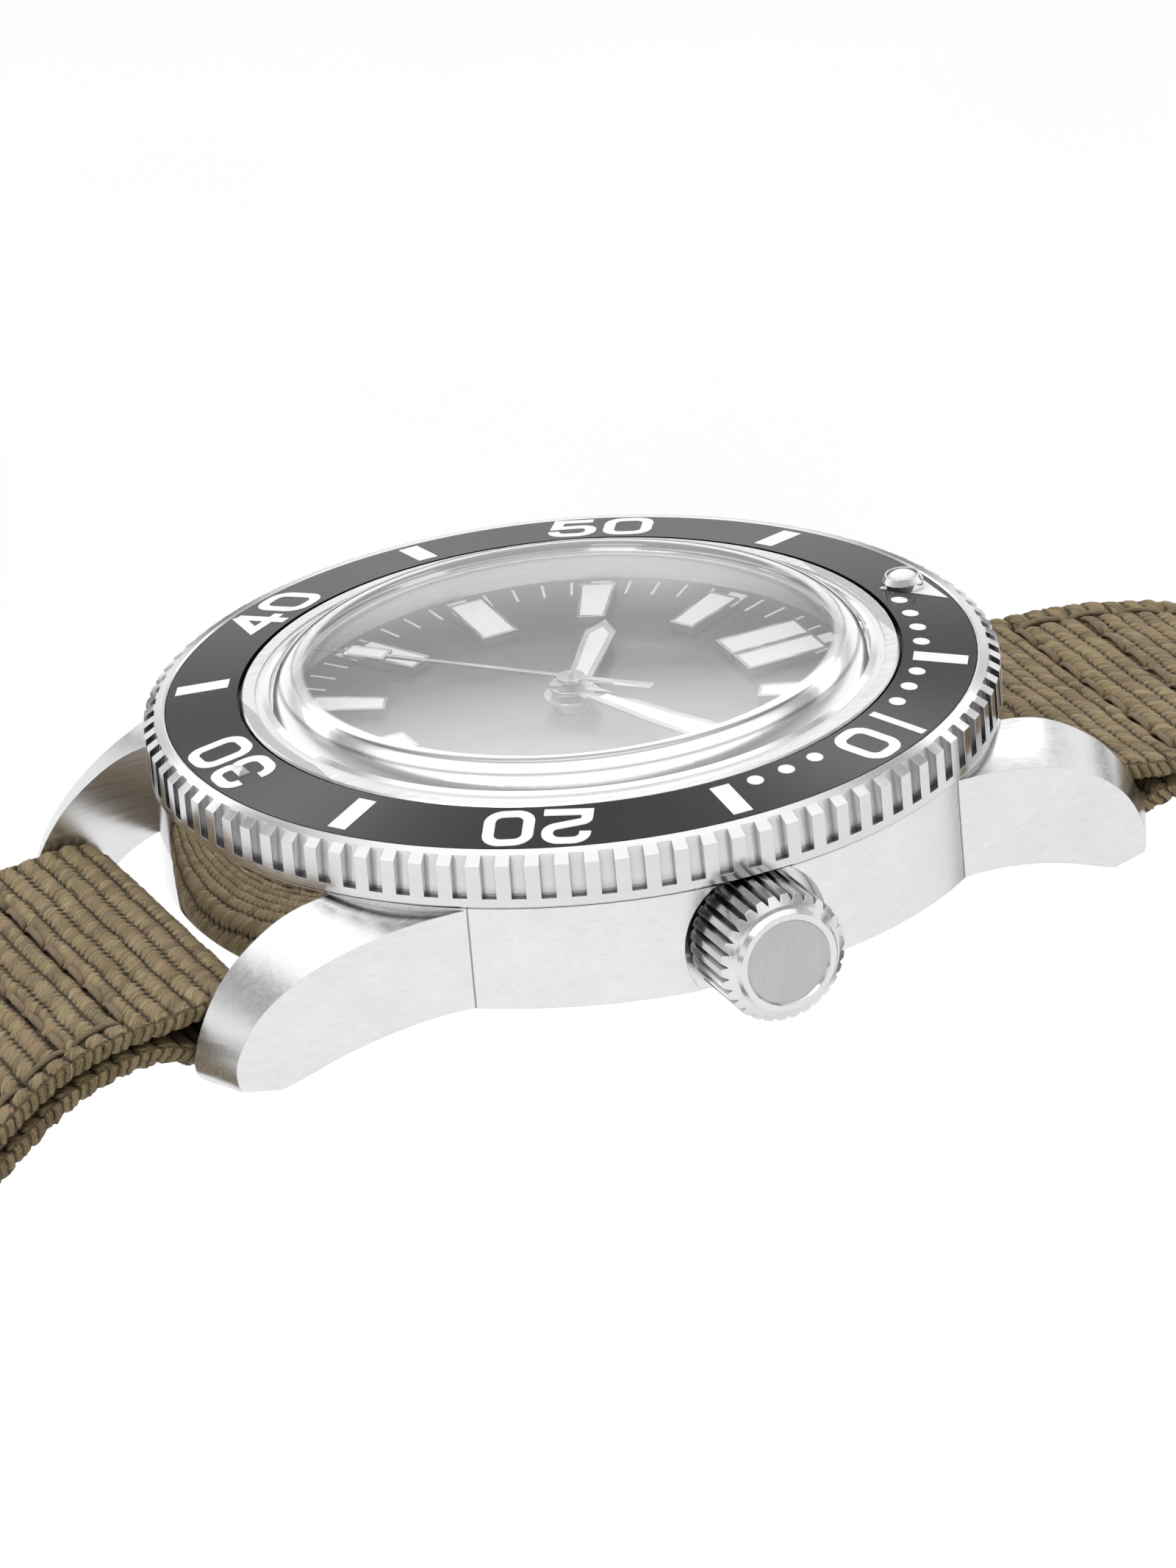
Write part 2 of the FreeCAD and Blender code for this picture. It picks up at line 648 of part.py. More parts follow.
def make_ratchet_wheel():
    phase = mesh_phase(CROWN_WHEEL_XY, BARREL_XY, CROWN_N, RATCHET_N)
    wheel = gear(RATCHET_N, M7, 3.05, 3.45, BARREL_XY, phase)
    arbor = disc(0.5, COVER_LOW, 6.3, *BARREL_XY)
    core = disc(0.9, 4.4, 5.15, *BARREL_XY)
    return fuse([wheel, arbor, core])


def make_crown_wheel():
    wheel = gear(CROWN_N, M7, 3.05, 3.45, CROWN_WHEEL_XY)
    return wheel.cut(disc(0.5 + RUN, 0, 9, *CROWN_WHEEL_XY))


def make_winding_pinion():
    """Pinion and sliding clutch on the stem's square, turning with it."""
    start, end = PINION_X - 0.7, PINION_X + 0.7
    tooth = block(start, end, -0.16, 0.16, CROWN_Z + 0.5, CROWN_Z + 0.98)
    hub = rod(0.8, start, end)
    clutch = rod(0.85, start - 1.8, start - 0.3)
    neck = rod(0.65, start - 1.8, end)
    groove = rod(1.5, start - 1.2, start - 0.8).cut(rod(0.65, start - 2, start))
    teeth = []
    for k in range(12):
        copy = tooth.copy()
        copy.rotate(V(0, 0, CROWN_Z), X_AXIS, 30.0 * k)
        teeth.append(copy)
    body = fuse([neck, hub, clutch] + teeth)
    return cut(body, [groove, rod(STEM_R + RUN, 0, 20)])


def arbor(place, z0=3.15, z1=5.85):
    return disc(ARBOR_R, z0, z1, *place)


def make_second_wheel():
    phase = mesh_phase(BARREL_XY, SECOND_XY, BARREL_N, SECOND_P)
    wheel = gear(SECOND_N, M2, 3.85, 4.0, SECOND_XY)
    wheel = spoked(wheel, SECOND_XY, M2 * SECOND_N / 2, 3, 5)
    pinion = gear(SECOND_P, M1, 4.6, 5.45, SECOND_XY, phase)
    return fuse([wheel, pinion, disc(0.3, 3.85, 5.0, *SECOND_XY), arbor(SECOND_XY)])


def make_third_wheel():
    phase = mesh_phase(SECOND_XY, THIRD_XY, SECOND_N, THIRD_P)
    wheel = gear(THIRD_N, M3, 4.8, 4.95, THIRD_XY)
    wheel = spoked(wheel, THIRD_XY, M3 * THIRD_N / 2, 4, 6)
    pinion = gear(THIRD_P, M2, 3.75, 4.2, THIRD_XY, phase)
    return fuse([wheel, pinion, disc(0.25, 3.9, 4.95, *THIRD_XY), arbor(THIRD_XY)])


def make_fourth_wheel():
    """Fourth wheel on the long centre arbor that carries the seconds hand."""
    phase = mesh_phase(THIRD_XY, CENTRE, THIRD_N, FOURTH_P)
    wheel = spoked(gear(FOURTH_N, M4, 4.3, 4.45), CENTRE, M4 * FOURTH_N / 2, 4, 6)
    pinion = gear(FOURTH_P, M3, 4.7, 5.2, CENTRE, phase)
    return fuse([wheel, pinion, disc(0.22, 4.3, 5.2), arbor(CENTRE, 3.15, 8.95)])


def make_escape_wheel():
    phase = mesh_phase(CENTRE, ESCAPE_XY, FOURTH_N, ESCAPE_P)
    points = []
    for k in range(15):
        for r, turn in ((1.35, 0.0), (ESCAPE_R, 7.0), (ESCAPE_R - 0.08, 9.5), (1.35, 8.0)):
            x, y = polar(r, 24.0 * k + turn)
            points.append((ESCAPE_XY[0] + x, ESCAPE_XY[1] + y))
    pinion = gear(ESCAPE_P, M4, 4.15, 4.6, ESCAPE_XY, phase)
    shaft = [disc(0.17, 4.15, 5.15, *ESCAPE_XY), arbor(ESCAPE_XY)]
    return fuse([prism(points, 5.0, 5.15), pinion] + shaft)


def local_prism(origin, angle, points, z0, z1):
    c, s = math.cos(angle), math.sin(angle)
    placed = [(origin[0] + u * c - v * s, origin[1] + u * s + v * c) for u, v in points]
    return prism(placed, z0, z1)


def make_pallet_fork():
    angle = bearing(PALLET_XY, BALANCE_XY)
    reach = math.hypot(BALANCE_XY[0] - PALLET_XY[0], BALANCE_XY[1] - PALLET_XY[1]) - 0.68
    lever = local_prism(PALLET_XY, angle, [(0, -0.12), (reach - 0.4, -0.12), (reach, -0.35),
                                           (reach, -0.14), (reach - 0.25, -0.14),
                                           (reach - 0.25, 0.14), (reach, 0.14), (reach, 0.35),
                                           (reach - 0.4, 0.12), (0, 0.12)], 5.0, 5.15)
    beam = local_prism(PALLET_XY, angle, [(-0.15, -1.75), (0.15, -1.75), (0.15, 1.75),
                                          (-0.15, 1.75)], 5.0, 5.15)
    stones = [local_prism(PALLET_XY, angle, [(-0.55, v - 0.15), (0.1, v - 0.15), (0.1, v + 0.15),
                                             (-0.55, v + 0.15)], 4.95, 5.2)
              for v in (-1.6, 1.6)]
    hub = disc(0.3, 4.9, 5.2, *PALLET_XY)
    return fuse([lever, beam, hub, arbor(PALLET_XY, 4.5)] + stones)


def make_balance():
    rim = ring(3.35, 3.95, 3.85, 4.25, *BALANCE_XY)
    arms = [local_prism(BALANCE_XY, math.radians(60 * k), [(-3.5, -0.2), (3.5, -0.2), (3.5, 0.2),
                                                           (-3.5, 0.2)], 3.95, 4.15)
            for k in range(3)]
    x, y = toward(BALANCE_XY, PALLET_XY, 0.42)
    parts = [disc(0.3, 3.6, 4.9, *BALANCE_XY), disc(0.6, 4.7, 4.85, *BALANCE_XY),
             disc(0.1, 4.8, 5.2, x, y), arbor(BALANCE_XY, 2.75)]
    return fuse([rim] + arms + parts)


def make_hairspring():
    collet = ring(ARBOR_R, 0.4, 3.4, 3.55, *BALANCE_XY)
    coil = spiral(BALANCE_XY, 0.45, 2.3, 7, 0.05, 3.4, 3.55)
    bridge = block(BALANCE_XY[0] - 0.5, BALANCE_XY[0] - 0.3, BALANCE_XY[1] - 0.1,
                   BALANCE_XY[1] + 0.1, 3.4, 3.55)
    return fuse([collet, bridge, coil])


def make_cannon_pinion():
    body = fuse([gear(CANNON_P, M5, 6.65, 6.82), disc(0.38, 6.65, 8.5)])
    return body.cut(disc(0.16, 0, 20))


def make_minute_wheel():
    phase = mesh_phase(CENTRE, MINUTE_XY, CANNON_P, MINUTE_N)
    wheel = gear(MINUTE_N, M5, 6.65, 6.8, MINUTE_XY, phase)
    pinion = gear(MINUTE_P, M6, 6.8, 7.04, MINUTE_XY)
    return fuse([wheel, pinion]).cut(disc(0.25, 0, 20, *MINUTE_XY))


def make_hour_wheel():
    phase = mesh_phase(MINUTE_XY, CENTRE, MINUTE_P, HOUR_N)
    body = fuse([gear(HOUR_N, M6, 6.88, 7.02, CENTRE, phase), disc(0.75, 6.88, HAND_H[1])])
    return body.cut(disc(0.43, 0, 20))


def half_ring(r_in, r_out, z0, z1):
    return sector(r_in, r_out, z0, z1, 180, 180)


def make_rotor():
    plate = fuse([half_ring(2.0, 10.7, 1.95, 2.15), ring(1.0, 2.6, 1.85, 2.3)])
    windows = [disc(1.7, 1, 3, *polar(6.8, a)) for a in (215, 270, 325)]
    return cut(plate, windows)


def make_rotor_weight():
    return half_ring(10.7, 13.1, 1.5, 2.45)


def make_rotor_bearing():
    flange = disc(1.7, 1.45, 1.75)
    stem = disc(0.95, 1.45, BRIDGE_LOW)
    return fuse([flange, stem]).cut(disc(0.3, 1.0, 1.6))


# ---------- crown ----------

def make_crown():
    knurl_in = 2.72
    body = turned_x([(CROWN_BACK, 1.65), (CROWN_BACK, 2.75), (CROWN_BACK + 0.25, CROWN_R),
                     (21.7, CROWN_R), (22.05, 2.6), (22.15, 2.45), (CROWN_FACE, 2.3),
                     (CROWN_FACE, 2.02), (CROWN_FACE - 0.12, 1.95), (CROWN_FACE - 0.12, 0),
                     (21.3, 0), (21.3, STEM_R), (20.6, STEM_R), (20.6, 1.65)])
    body = body.cut(turned_x([(19.3, 1.6), (19.3, 1.98), (19.8, 1.98), (19.8, 1.6)]))
    groove = Part.makePolygon([V(18, 0, CROWN_Z + knurl_in), V(18, -0.26, CROWN_Z + 3.2),
                               V(18, 0.26, CROWN_Z + 3.2), V(18, 0, CROWN_Z + knurl_in)])
    groove = Part.Face(groove).extrude(V(5, 0, 0))
    grooves = []
    for k in range(CROWN_TEETH):
        copy = groove.copy()
        copy.rotate(V(0, 0, CROWN_Z), X_AXIS, 360.0 * k / CROWN_TEETH)
        grooves.append(copy)
    return cut(body, grooves)


def make_crown_gasket():
    return Part.makeTorus(1.76, 0.2, V(19.55, 0, CROWN_Z), X_AXIS)


# ---------- strap ----------
# A strap half is drawn in the YZ plane as (y outward, z up), then mirrored to
# its side. Its centre line is a chain of lines and arcs, all tangent.

def walk(chain):
    """Corner list (y, z, heading) of a centre line, with each piece's turn."""
    heading, pieces = chain
    y, z, a = BAR_Y, BAR_Z, math.radians(heading)
    stations = [(y, z, a)]
    for length, turn in pieces:
        t = math.radians(turn)
        chord = length if turn == 0 else 2 * length / t * math.sin(t / 2)
        y += chord * math.cos(a + t / 2)
        z += chord * math.sin(a + t / 2)
        a += t
        stations.append((y, z, a))
    return stations


def offset_point(station, d):
    y, z, a = station
    return V(0, y - d * math.sin(a), z + d * math.cos(a))


def middle(station, piece):
    """Station half way along a piece that starts at station."""
    length, turn = piece[0] / 2, math.radians(piece[1]) / 2
    y, z, a = station
    chord = length if turn == 0 else 2 * length / turn * math.sin(turn / 2)
    return (y + chord * math.cos(a + turn / 2), z + chord * math.sin(a + turn / 2), a + turn)


def side_edges(chain, d):
    stations = walk(chain)
    edges = []
    for k, piece in enumerate(chain[1]):
        a, c = offset_point(stations[k], d), offset_point(stations[k + 1], d)
        if piece[1] == 0:
            edges.append(Part.makeLine(a, c))
        else:
            b = offset_point(middle(stations[k], piece), d)
            edges.append(Part.Arc(a, b, c).toShape())
    return edges


def webbing(chain):
    top = side_edges(chain, STRAP_T / 2)
    low = side_edges(chain, -STRAP_T / 2)
    ends = [Part.makeLine(top[0].Vertexes[0].Point, low[0].Vertexes[0].Point),
            Part.makeLine(top[-1].Vertexes[-1].Point, low[-1].Vertexes[-1].Point)]
    wire = Part.Wire(Part.__sortEdges__(top + low + ends))
    solid = Part.Face(wire).extrude(V(2 * STRAP_HALF, 0, 0))
    solid.translate(V(-STRAP_HALF, 0, 0))
    return solid


def placed(shape, station):
    """Move a shape drawn at the origin, with +Y along the strap, to a station."""
    y, z, a = station
    shape = shape.copy()
    shape.rotate(V(0, 0, 0), X_AXIS, math.degrees(a))
    shape.translate(V(0, y, z))
    return shape


def bar_loop(station):
    return placed(rod(LOOP_R, -STRAP_HALF, STRAP_HALF, 0, 0), station)


def bar_bore(station):
    return placed(rod(BAR_R + RUN, -12, 12, 0, 0), station)


TANG_SLOT = 1.7             # half width of the slot for the tang
END_12 = walk(STRAP_12)[-1]
START = (BAR_Y, BAR_Z, 0.0)


def make_strap_12():
    body = fuse([webbing(STRAP_12), bar_loop(START), bar_loop(END_12)])
    slot = placed(block(-TANG_SLOT, TANG_SLOT, -5.5, 4, -5, 5), END_12)
    return cut(body, [bar_bore(START), bar_bore(END_12), slot])


def straight_station(chain, back):
    """Station on the last straight piece, back from its end."""
    y, z, a = walk(chain)[-1]
    return (y - back * math.cos(a), z - back * math.sin(a), a)


def station_at(chain, distance):
    """Station at a distance along the centre line."""
    stations = walk(chain)
    for k, piece in enumerate(chain[1]):
        if distance <= piece[0]:
            share = distance / piece[0]
            return middle(stations[k], (2 * share * piece[0], 2 * share * piece[1]))
        distance -= piece[0]
    return stations[-1]


def strap_length(chain):
    return sum(piece[0] for piece in chain[1])


def make_strap_6():
    body = fuse([webbing(STRAP_6), bar_loop(START)])
    tools = [bar_bore(START)]
    length = strap_length(STRAP_6)
    for k in range(HOLE_COUNT):
        station = station_at(STRAP_6, length - 16 - k * HOLE_PITCH)
        tools.append(placed(disc(HOLE_R, -3, 3), station))
    tip = block(-15, 15, -6, 6, -4, 4).cut(disc(STRAP_HALF + 2, -5, 5, 0, -STRAP_HALF - 2))
    tools.append(placed(tip, walk(STRAP_6)[-1]))
    return cut(body, tools).mirror(V(0, 0, 0), V(0, 1, 0))


def keeper(back, width):
    """Webbing loop round the strap, drawn on its last straight piece."""
    gap, wall, room = 0.3, 1.0, 1.9
    half = STRAP_HALF + gap
    low, top = -STRAP_T / 2 - gap, STRAP_T / 2 + room
    outer = block(-half - wall, half + wall, -width / 2, width / 2, low - wall, top + wall)
    outer = outer.makeFillet(0.8, [e for e in outer.Edges if abs(e.tangentAt(e.FirstParameter).y) > 0.9])
    inner = block(-half, half, -width, width, low, top)
    return placed(outer.cut(inner), straight_station(STRAP_12, back))


BUCKLE_HALF = 13.0
BUCKLE_T = 1.2              # half thickness of the buckle's frame


def make_buckle_frame():
    plan = [(-BUCKLE_HALF, -1.8), (-BUCKLE_HALF, 8.2), (-BUCKLE_HALF + 1.6, 10.4),
            (BUCKLE_HALF - 1.6, 10.4), (BUCKLE_HALF, 8.2), (BUCKLE_HALF, -1.8)]
    window = [(-10.3, -4), (-10.3, 7.4), (10.3, 7.4), (10.3, -4)]
    body = prism(plan, -BUCKLE_T, BUCKLE_T).cut(prism(window, -5, 5))
    seat = Part.makeCylinder(1.0, 4, V(0, 6.5, BUCKLE_T + 0.35), V(0, 1, 0))
    bores = [rod(BAR_TIP_R, -12, 12, 0, 0)]
    return placed(cut(body, [seat] + bores), END_12)


def make_buckle_bar():
    return placed(fuse([rod(BAR_R, -10.2, 10.2, 0, 0), rod(BAR_TIP_R, -12, 12, 0, 0)]), END_12)


def make_buckle_tang():
    eye = rod(1.6, -1.2, 1.2, 0, 0)
    stem_z = BUCKLE_T + 0.35
    stem = Part.makeCylinder(0.85, 10.4, V(0, 0, stem_z), V(0, 1, 0))
    tip = Part.makeSphere(0.85, V(0, 10.4, stem_z))
    return placed(fuse([eye, stem, tip]).cut(rod(BAR_R + RUN, -3, 3, 0, 0)), END_12)


def main():
    os.makedirs("parts", exist_ok=True)
    save("case", make_case())
    save("case_back", make_case_back())
    save("back_gasket", make_back_gasket())
    save("crown_tube", make_crown_tube())
    save("spring_bar_12", make_spring_bar(BAR_Y))
    save("spring_bar_6", make_spring_bar(-BAR_Y))
    save("click_spring", make_click_spring())
    save("bezel_wire", make_bezel_wire())
    save("bezel_ring", make_bezel_ring())
    save("bezel_insert", make_bezel_insert())
    save("pearl_rim", make_pearl_rim())
    save("bezel_pearl", make_pearl())
    save("crystal", make_crystal())
    save("crystal_gasket", ring(CRYSTAL_R, CRYSTAL_SEAT_R, SHELF_Z, 10.4))
    save("rehaut_ring", make_rehaut())
    save("dial", make_dial())
    frames, fields = make_markers()
    save("hour_markers", frames)
    save("marker_lume", fields)
    for name, pair in (("hour", make_hour_hand()), ("minute", make_minute_hand()),
                       ("seconds", make_seconds_hand())):
        save(name + "_hand", pair[0])
        save(name + "_hand_lume", pair[1])
    save("mainplate", make_mainplate())
    save("movement_ring", make_movement_ring())
    save("barrel_bridge", make_barrel_bridge())
    save("train_bridge", make_train_bridge())
    save("balance_cock", make_balance_cock())
    save("pallet_bridge", make_pallet_bridge())
    save("bridge_screws", make_screws())
    save("jewels", make_jewels())
    save("barrel", make_barrel())
    save("mainspring", make_mainspring())
    save("ratchet_wheel", make_ratchet_wheel())
    save("crown_wheel", make_crown_wheel())
    save("winding_pinion", make_winding_pinion())
    save("second_wheel", make_second_wheel())
    save("third_wheel", make_third_wheel())
    save("fourth_wheel", make_fourth_wheel())
    save("escape_wheel", make_escape_wheel())
    save("pallet_fork", make_pallet_fork())
    save("balance_wheel", make_balance())
    save("hairspring", make_hairspring())
    save("cannon_pinion", make_cannon_pinion())
    save("minute_wheel", make_minute_wheel())
    save("hour_wheel", make_hour_wheel())
    save("rotor", make_rotor())
    save("rotor_weight", make_rotor_weight())
    save("rotor_bearing", make_rotor_bearing())
    save("crown", make_crown())
    save("winding_stem", rod(STEM_R, 7.2, 21.3))
    save("crown_gasket", make_crown_gasket())
    save("strap_12", make_strap_12())
    save("strap_6", make_strap_6())
    save("fixed_keeper", keeper(10.0, 5.0))
    save("sliding_keeper", keeper(16.5, 5.0))
    save("buckle_frame", make_buckle_frame())
    save("buckle_bar", make_buckle_bar())
    save("buckle_tang", make_buckle_tang())


main()
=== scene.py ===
import math

import bmesh
import bpy
import numpy as np
from mathutils import Matrix, Vector


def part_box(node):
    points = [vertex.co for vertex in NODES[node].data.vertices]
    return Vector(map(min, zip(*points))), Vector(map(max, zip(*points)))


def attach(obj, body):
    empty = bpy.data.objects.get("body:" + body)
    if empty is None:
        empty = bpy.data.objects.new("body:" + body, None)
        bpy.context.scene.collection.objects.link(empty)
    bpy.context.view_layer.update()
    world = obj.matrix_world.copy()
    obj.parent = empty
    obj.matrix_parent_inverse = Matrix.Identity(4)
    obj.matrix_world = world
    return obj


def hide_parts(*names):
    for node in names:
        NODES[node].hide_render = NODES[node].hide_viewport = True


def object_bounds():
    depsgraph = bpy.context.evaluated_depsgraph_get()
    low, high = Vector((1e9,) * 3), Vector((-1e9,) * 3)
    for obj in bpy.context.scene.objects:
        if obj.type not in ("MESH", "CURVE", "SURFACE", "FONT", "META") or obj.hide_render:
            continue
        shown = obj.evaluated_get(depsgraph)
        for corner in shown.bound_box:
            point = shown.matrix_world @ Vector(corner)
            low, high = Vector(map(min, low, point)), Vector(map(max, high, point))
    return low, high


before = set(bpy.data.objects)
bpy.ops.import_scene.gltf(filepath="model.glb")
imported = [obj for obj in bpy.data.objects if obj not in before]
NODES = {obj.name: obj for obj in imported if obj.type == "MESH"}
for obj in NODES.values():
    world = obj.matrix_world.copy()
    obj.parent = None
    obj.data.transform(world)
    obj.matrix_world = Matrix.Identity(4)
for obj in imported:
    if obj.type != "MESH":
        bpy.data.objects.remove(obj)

# The looks of a steel dive watch on a woven strap. Lengths are in millimetres
# until a mesh is made, which turns them into metres.

MM = 0.001
CAD_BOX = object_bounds()
PI = math.pi
DIAL_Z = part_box("dial")[1].z / MM
CRYSTAL_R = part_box("crystal")[1].x / MM


# ---------- materials ----------

class Nodes:
    """A node tree, with short calls for making its nodes."""

    def __init__(self, tree):
        self.nodes, self.links = tree.nodes, tree.links

    def add(self, kind, inputs=(), **settings):
        """A node, with its inputs by name or number, each a value or a socket."""
        node = self.nodes.new("ShaderNode" + kind)
        for key, value in settings.items():
            setattr(node, key, value)
        for key, value in dict(inputs).items():
            if isinstance(value, bpy.types.NodeSocket):
                self.links.new(value, node.inputs[key])
            else:
                node.inputs[key].default_value = value
        return node

    def maths(self, operation, a, b=0.0):
        return self.add("Math", {0: a, 1: b}, operation=operation).outputs[0]

    def total(self, *terms):
        """The sum of sockets, each times its factor."""
        parts = [self.maths("MULTIPLY", socket, factor) for socket, factor in terms]
        whole = parts[0]
        for part in parts[1:]:
            whole = self.maths("ADD", whole, part)
        return whole

    def vector_maths(self, operation, a, b=(0.0, 0.0, 0.0)):
        return self.add("VectorMath", {0: a, 1: b}, operation=operation).outputs[0]

    def scaled(self, vector, factor):
        return self.add("VectorMath", {0: vector, 3: factor}, operation="SCALE").outputs[0]

    def separate(self, vector):
        return self.add("SeparateXYZ", {0: vector}).outputs

    def combine(self, x, y, z):
        return self.add("CombineXYZ", {0: x, 1: y, 2: z}).outputs[0]

    def ramp(self, value, stops):
        """A colour for the value. Each stop is (place, colour) or (place, brightness)."""
        node = self.add("ValToRGB", {0: value})
        elements = node.color_ramp.elements
        while len(elements) < len(stops):
            elements.new(0.5)
        for element, (place, colour) in zip(elements, stops):
            element.position = place
            element.color = (*colour, 1) if isinstance(colour, tuple) else (colour, colour, colour, 1)
        return node.outputs[0]


class Surface(Nodes):
    """A material with one Principled shader. Its constant sockets are given by name, _ for a space."""

    def __init__(self, name, **sockets):
        self.material = bpy.data.materials.new(name)
        self.material.use_nodes = True
        super().__init__(self.material.node_tree)
        self.shader = self.nodes["Principled BSDF"]
        self.output = self.nodes["Material Output"]
        for key, value in sockets.items():
            self.shader.inputs[key.replace("_", " ")].default_value = value

    def feed(self, socket, key):
        self.links.new(socket, self.shader.inputs[key])

    def place(self):
        """The point in millimetres, in the piece's own frame."""
        return self.vector_maths("MULTIPLY", self.add("TexCoord").outputs["Object"], (1000, 1000, 1000))

    def noise(self, vector, stretch=(1, 1, 1), detail=3.0, roughness=0.55):
        return self.add("TexNoise", {"Vector": self.vector_maths("MULTIPLY", vector, stretch), "Scale": 1.0,
                                     "Detail": detail, "Roughness": roughness}).outputs["Fac"]

    def round_place(self, across, along, up):
        """Coordinates that follow circles about Z: radius, angle and height, each times its factor."""
        x, y, z = self.separate(self.place())
        radius = self.maths("SQRT", self.total((x, x), (y, y)))
        angle = self.maths("ARCTAN2", y, x)
        return self.combine(self.maths("MULTIPLY", radius, across), self.maths("MULTIPLY", angle, along),
                            self.maths("MULTIPLY", z, up))

    def span(self, value, low, high, start=0.25, end=0.75):
        """The value's range from start to end, mapped to low and high."""
        return self.add("MapRange", {"Value": value, "From Min": start, "From Max": end,
                                     "To Min": low, "To Max": high}).outputs[0]

    def shade(self, noise, dark, light):
        """Dark where the noise is low, and light where it is high."""
        return self.ramp(noise, [(0.3, dark), (0.7, light)])

    def masked(self, colour, mask, share):
        """The colour, times the share where the mask is 1."""
        return self.scaled(colour, self.span(mask, 1.0, share, 0, 1))

    def painted_corner_shade(self, colour, distance, least):
        """Painted shade: the colour, falling to a share of itself in corners narrower than distance."""
        open_share = self.add("AmbientOcclusion", {"Distance": distance * MM}, samples=6).outputs["AO"]
        return self.scaled(colour, self.span(open_share, least, 1.0, 0.15, 0.8))

    def bump(self, height, depth, strength=1.0, edge=0.0):
        """Relief of the given depth in millimetres, over edges rounded by edge."""
        node = self.add("Bump", {"Height": height, "Distance": depth * MM, "Strength": strength})
        if edge:
            rounding = self.add("Bevel", {"Radius": edge * MM}, samples=4)
            self.links.new(rounding.outputs[0], node.inputs["Normal"])
        self.feed(node.outputs[0], "Normal")


def grained_steel(name, tone, rough, stretch, depth=0.004, mirror=None, disc=None, crease=None):
    """Steel with a straight grain: stretch is the grain's fineness along each axis.
    mirror is (half width across X, least |Y|) of a region that is polished instead.
    disc is (height of its axis, radius, share) of a disc facing X that is darker by that share, as painted
    shade.
    crease is (|Y|, half width, least |X|) of the fine dark line of painted shade where two facets meet."""
    s = Surface(name, Metallic=1.0)
    where = s.place()
    grain = s.noise(where, stretch, 4.0, 0.7)
    cloud = s.noise(where, (0.35, 0.35, 0.35), 2.0)
    colour = s.shade(s.total((grain, 0.7), (cloud, 0.3)), tuple(c * 0.9 for c in tone),
                     tuple(min(1.0, c * 1.06) for c in tone))
    roughness = s.span(grain, rough - 0.05, rough + 0.05)
    x, y, z = s.separate(where)
    far_x, far_y = s.maths("ABSOLUTE", x), s.maths("ABSOLUTE", y)
    # Painted shade over the disc.
    if disc:
        height, radius, share = disc
        up = s.maths("SUBTRACT", z, height)
        inside = s.maths("LESS_THAN", s.total((up, up), (y, y)), radius ** 2)
        colour = s.masked(colour, inside, share)
    # Painted shade: a fine dark line along the crease between two facets.
    if crease:
        place, half, least_x = crease
        off = s.maths("ABSOLUTE", s.maths("SUBTRACT", far_y, place))
        line = s.maths("MULTIPLY", s.maths("LESS_THAN", off, half),
                       s.maths("GREATER_THAN", far_x, least_x))
        colour = s.masked(colour, line, 0.4)
    if mirror:
        half, least_y = mirror
        inside = s.maths("MULTIPLY", s.maths("LESS_THAN", far_x, half),
                         s.maths("GREATER_THAN", far_y, least_y))
        roughness = s.maths("MULTIPLY", roughness, s.span(inside, 1.0, 0.15, 0, 1))
        grain = s.maths("MULTIPLY", grain, s.maths("SUBTRACT", 1.0, inside))
    # Painted shade in corners and grooves narrower than 0.3 mm.
    s.feed(s.painted_corner_shade(colour, 0.3, 0.12), "Base Color")
    s.feed(roughness, "Roughness")
    s.bump(grain, depth, 0.6, 0.05)
    return s.material


def turned_steel(name, tone, rough, crevice=0.3, least=0.12):
    """Steel turned on a lathe: its grain follows circles about Z. Corners narrower than crevice
    fall to the least share of its tone, as painted shade."""
    s = Surface(name, Metallic=1.0)
    grain = s.noise(s.round_place(14.0, 0.5, 14.0), detail=3.0, roughness=0.6)
    smear = s.noise(s.round_place(0.8, 0.4, 0.8), detail=2.0)
    colour = s.shade(smear, tuple(c * 0.93 for c in tone), tone)
    # Painted shade in corners narrower than crevice.
    s.feed(s.painted_corner_shade(colour, crevice, least), "Base Color")
    s.feed(s.span(s.total((grain, 0.6), (smear, 0.4)), rough * 0.7, rough * 1.4), "Roughness")
    s.bump(grain, 0.002, 0.5, 0.04)
    return s.material


def black_enamel():
    s = Surface("black_enamel", Metallic=0.0, IOR=1.45, Specular_IOR_Level=0.35)
    where = s.place()
    speck = s.noise(where, (9, 9, 9), 5.0, 0.7)
    cloud = s.noise(where, (0.3, 0.3, 0.3), 3.0)
    s.feed(s.shade(cloud, (0.004, 0.004, 0.0045), (0.008, 0.008, 0.009)), "Base Color")
    s.feed(s.span(speck, 0.1, 0.2), "Roughness")
    s.bump(speck, 0.0012, 0.5)
    return s.material


def lume_paint(name, tone):
    """Grainy white luminous compound."""
    s = Surface(name, Metallic=0.0, Subsurface_Weight=0.1, Subsurface_Radius=(0.0003, 0.0003, 0.0002))
    grit = s.noise(s.place(), (22, 22, 22), 4.0, 0.7)
    s.feed(s.ramp(grit, [(0.3, tuple(c * 0.94 for c in tone)), (0.65, tone)]), "Base Color")
    s.feed(s.span(grit, 0.4, 0.65), "Roughness")
    s.bump(grit, 0.008, 0.5)
    return s.material


RIM_WIDTH = 2.5                    # of the crystal's rim, where mirror rings stand in for its glints
RIM_GLINT_RINGS = [(0.2, 0.0), (0.27, 0.75), (0.38, 0.8), (0.43, 0.25), (0.48, 0.85), (0.63, 0.9),
             (0.68, 0.35), (0.73, 0.9), (1.0, 0.9)]  # share made mirror, painted glints that stand in for refraction rings, from the rim's inside out
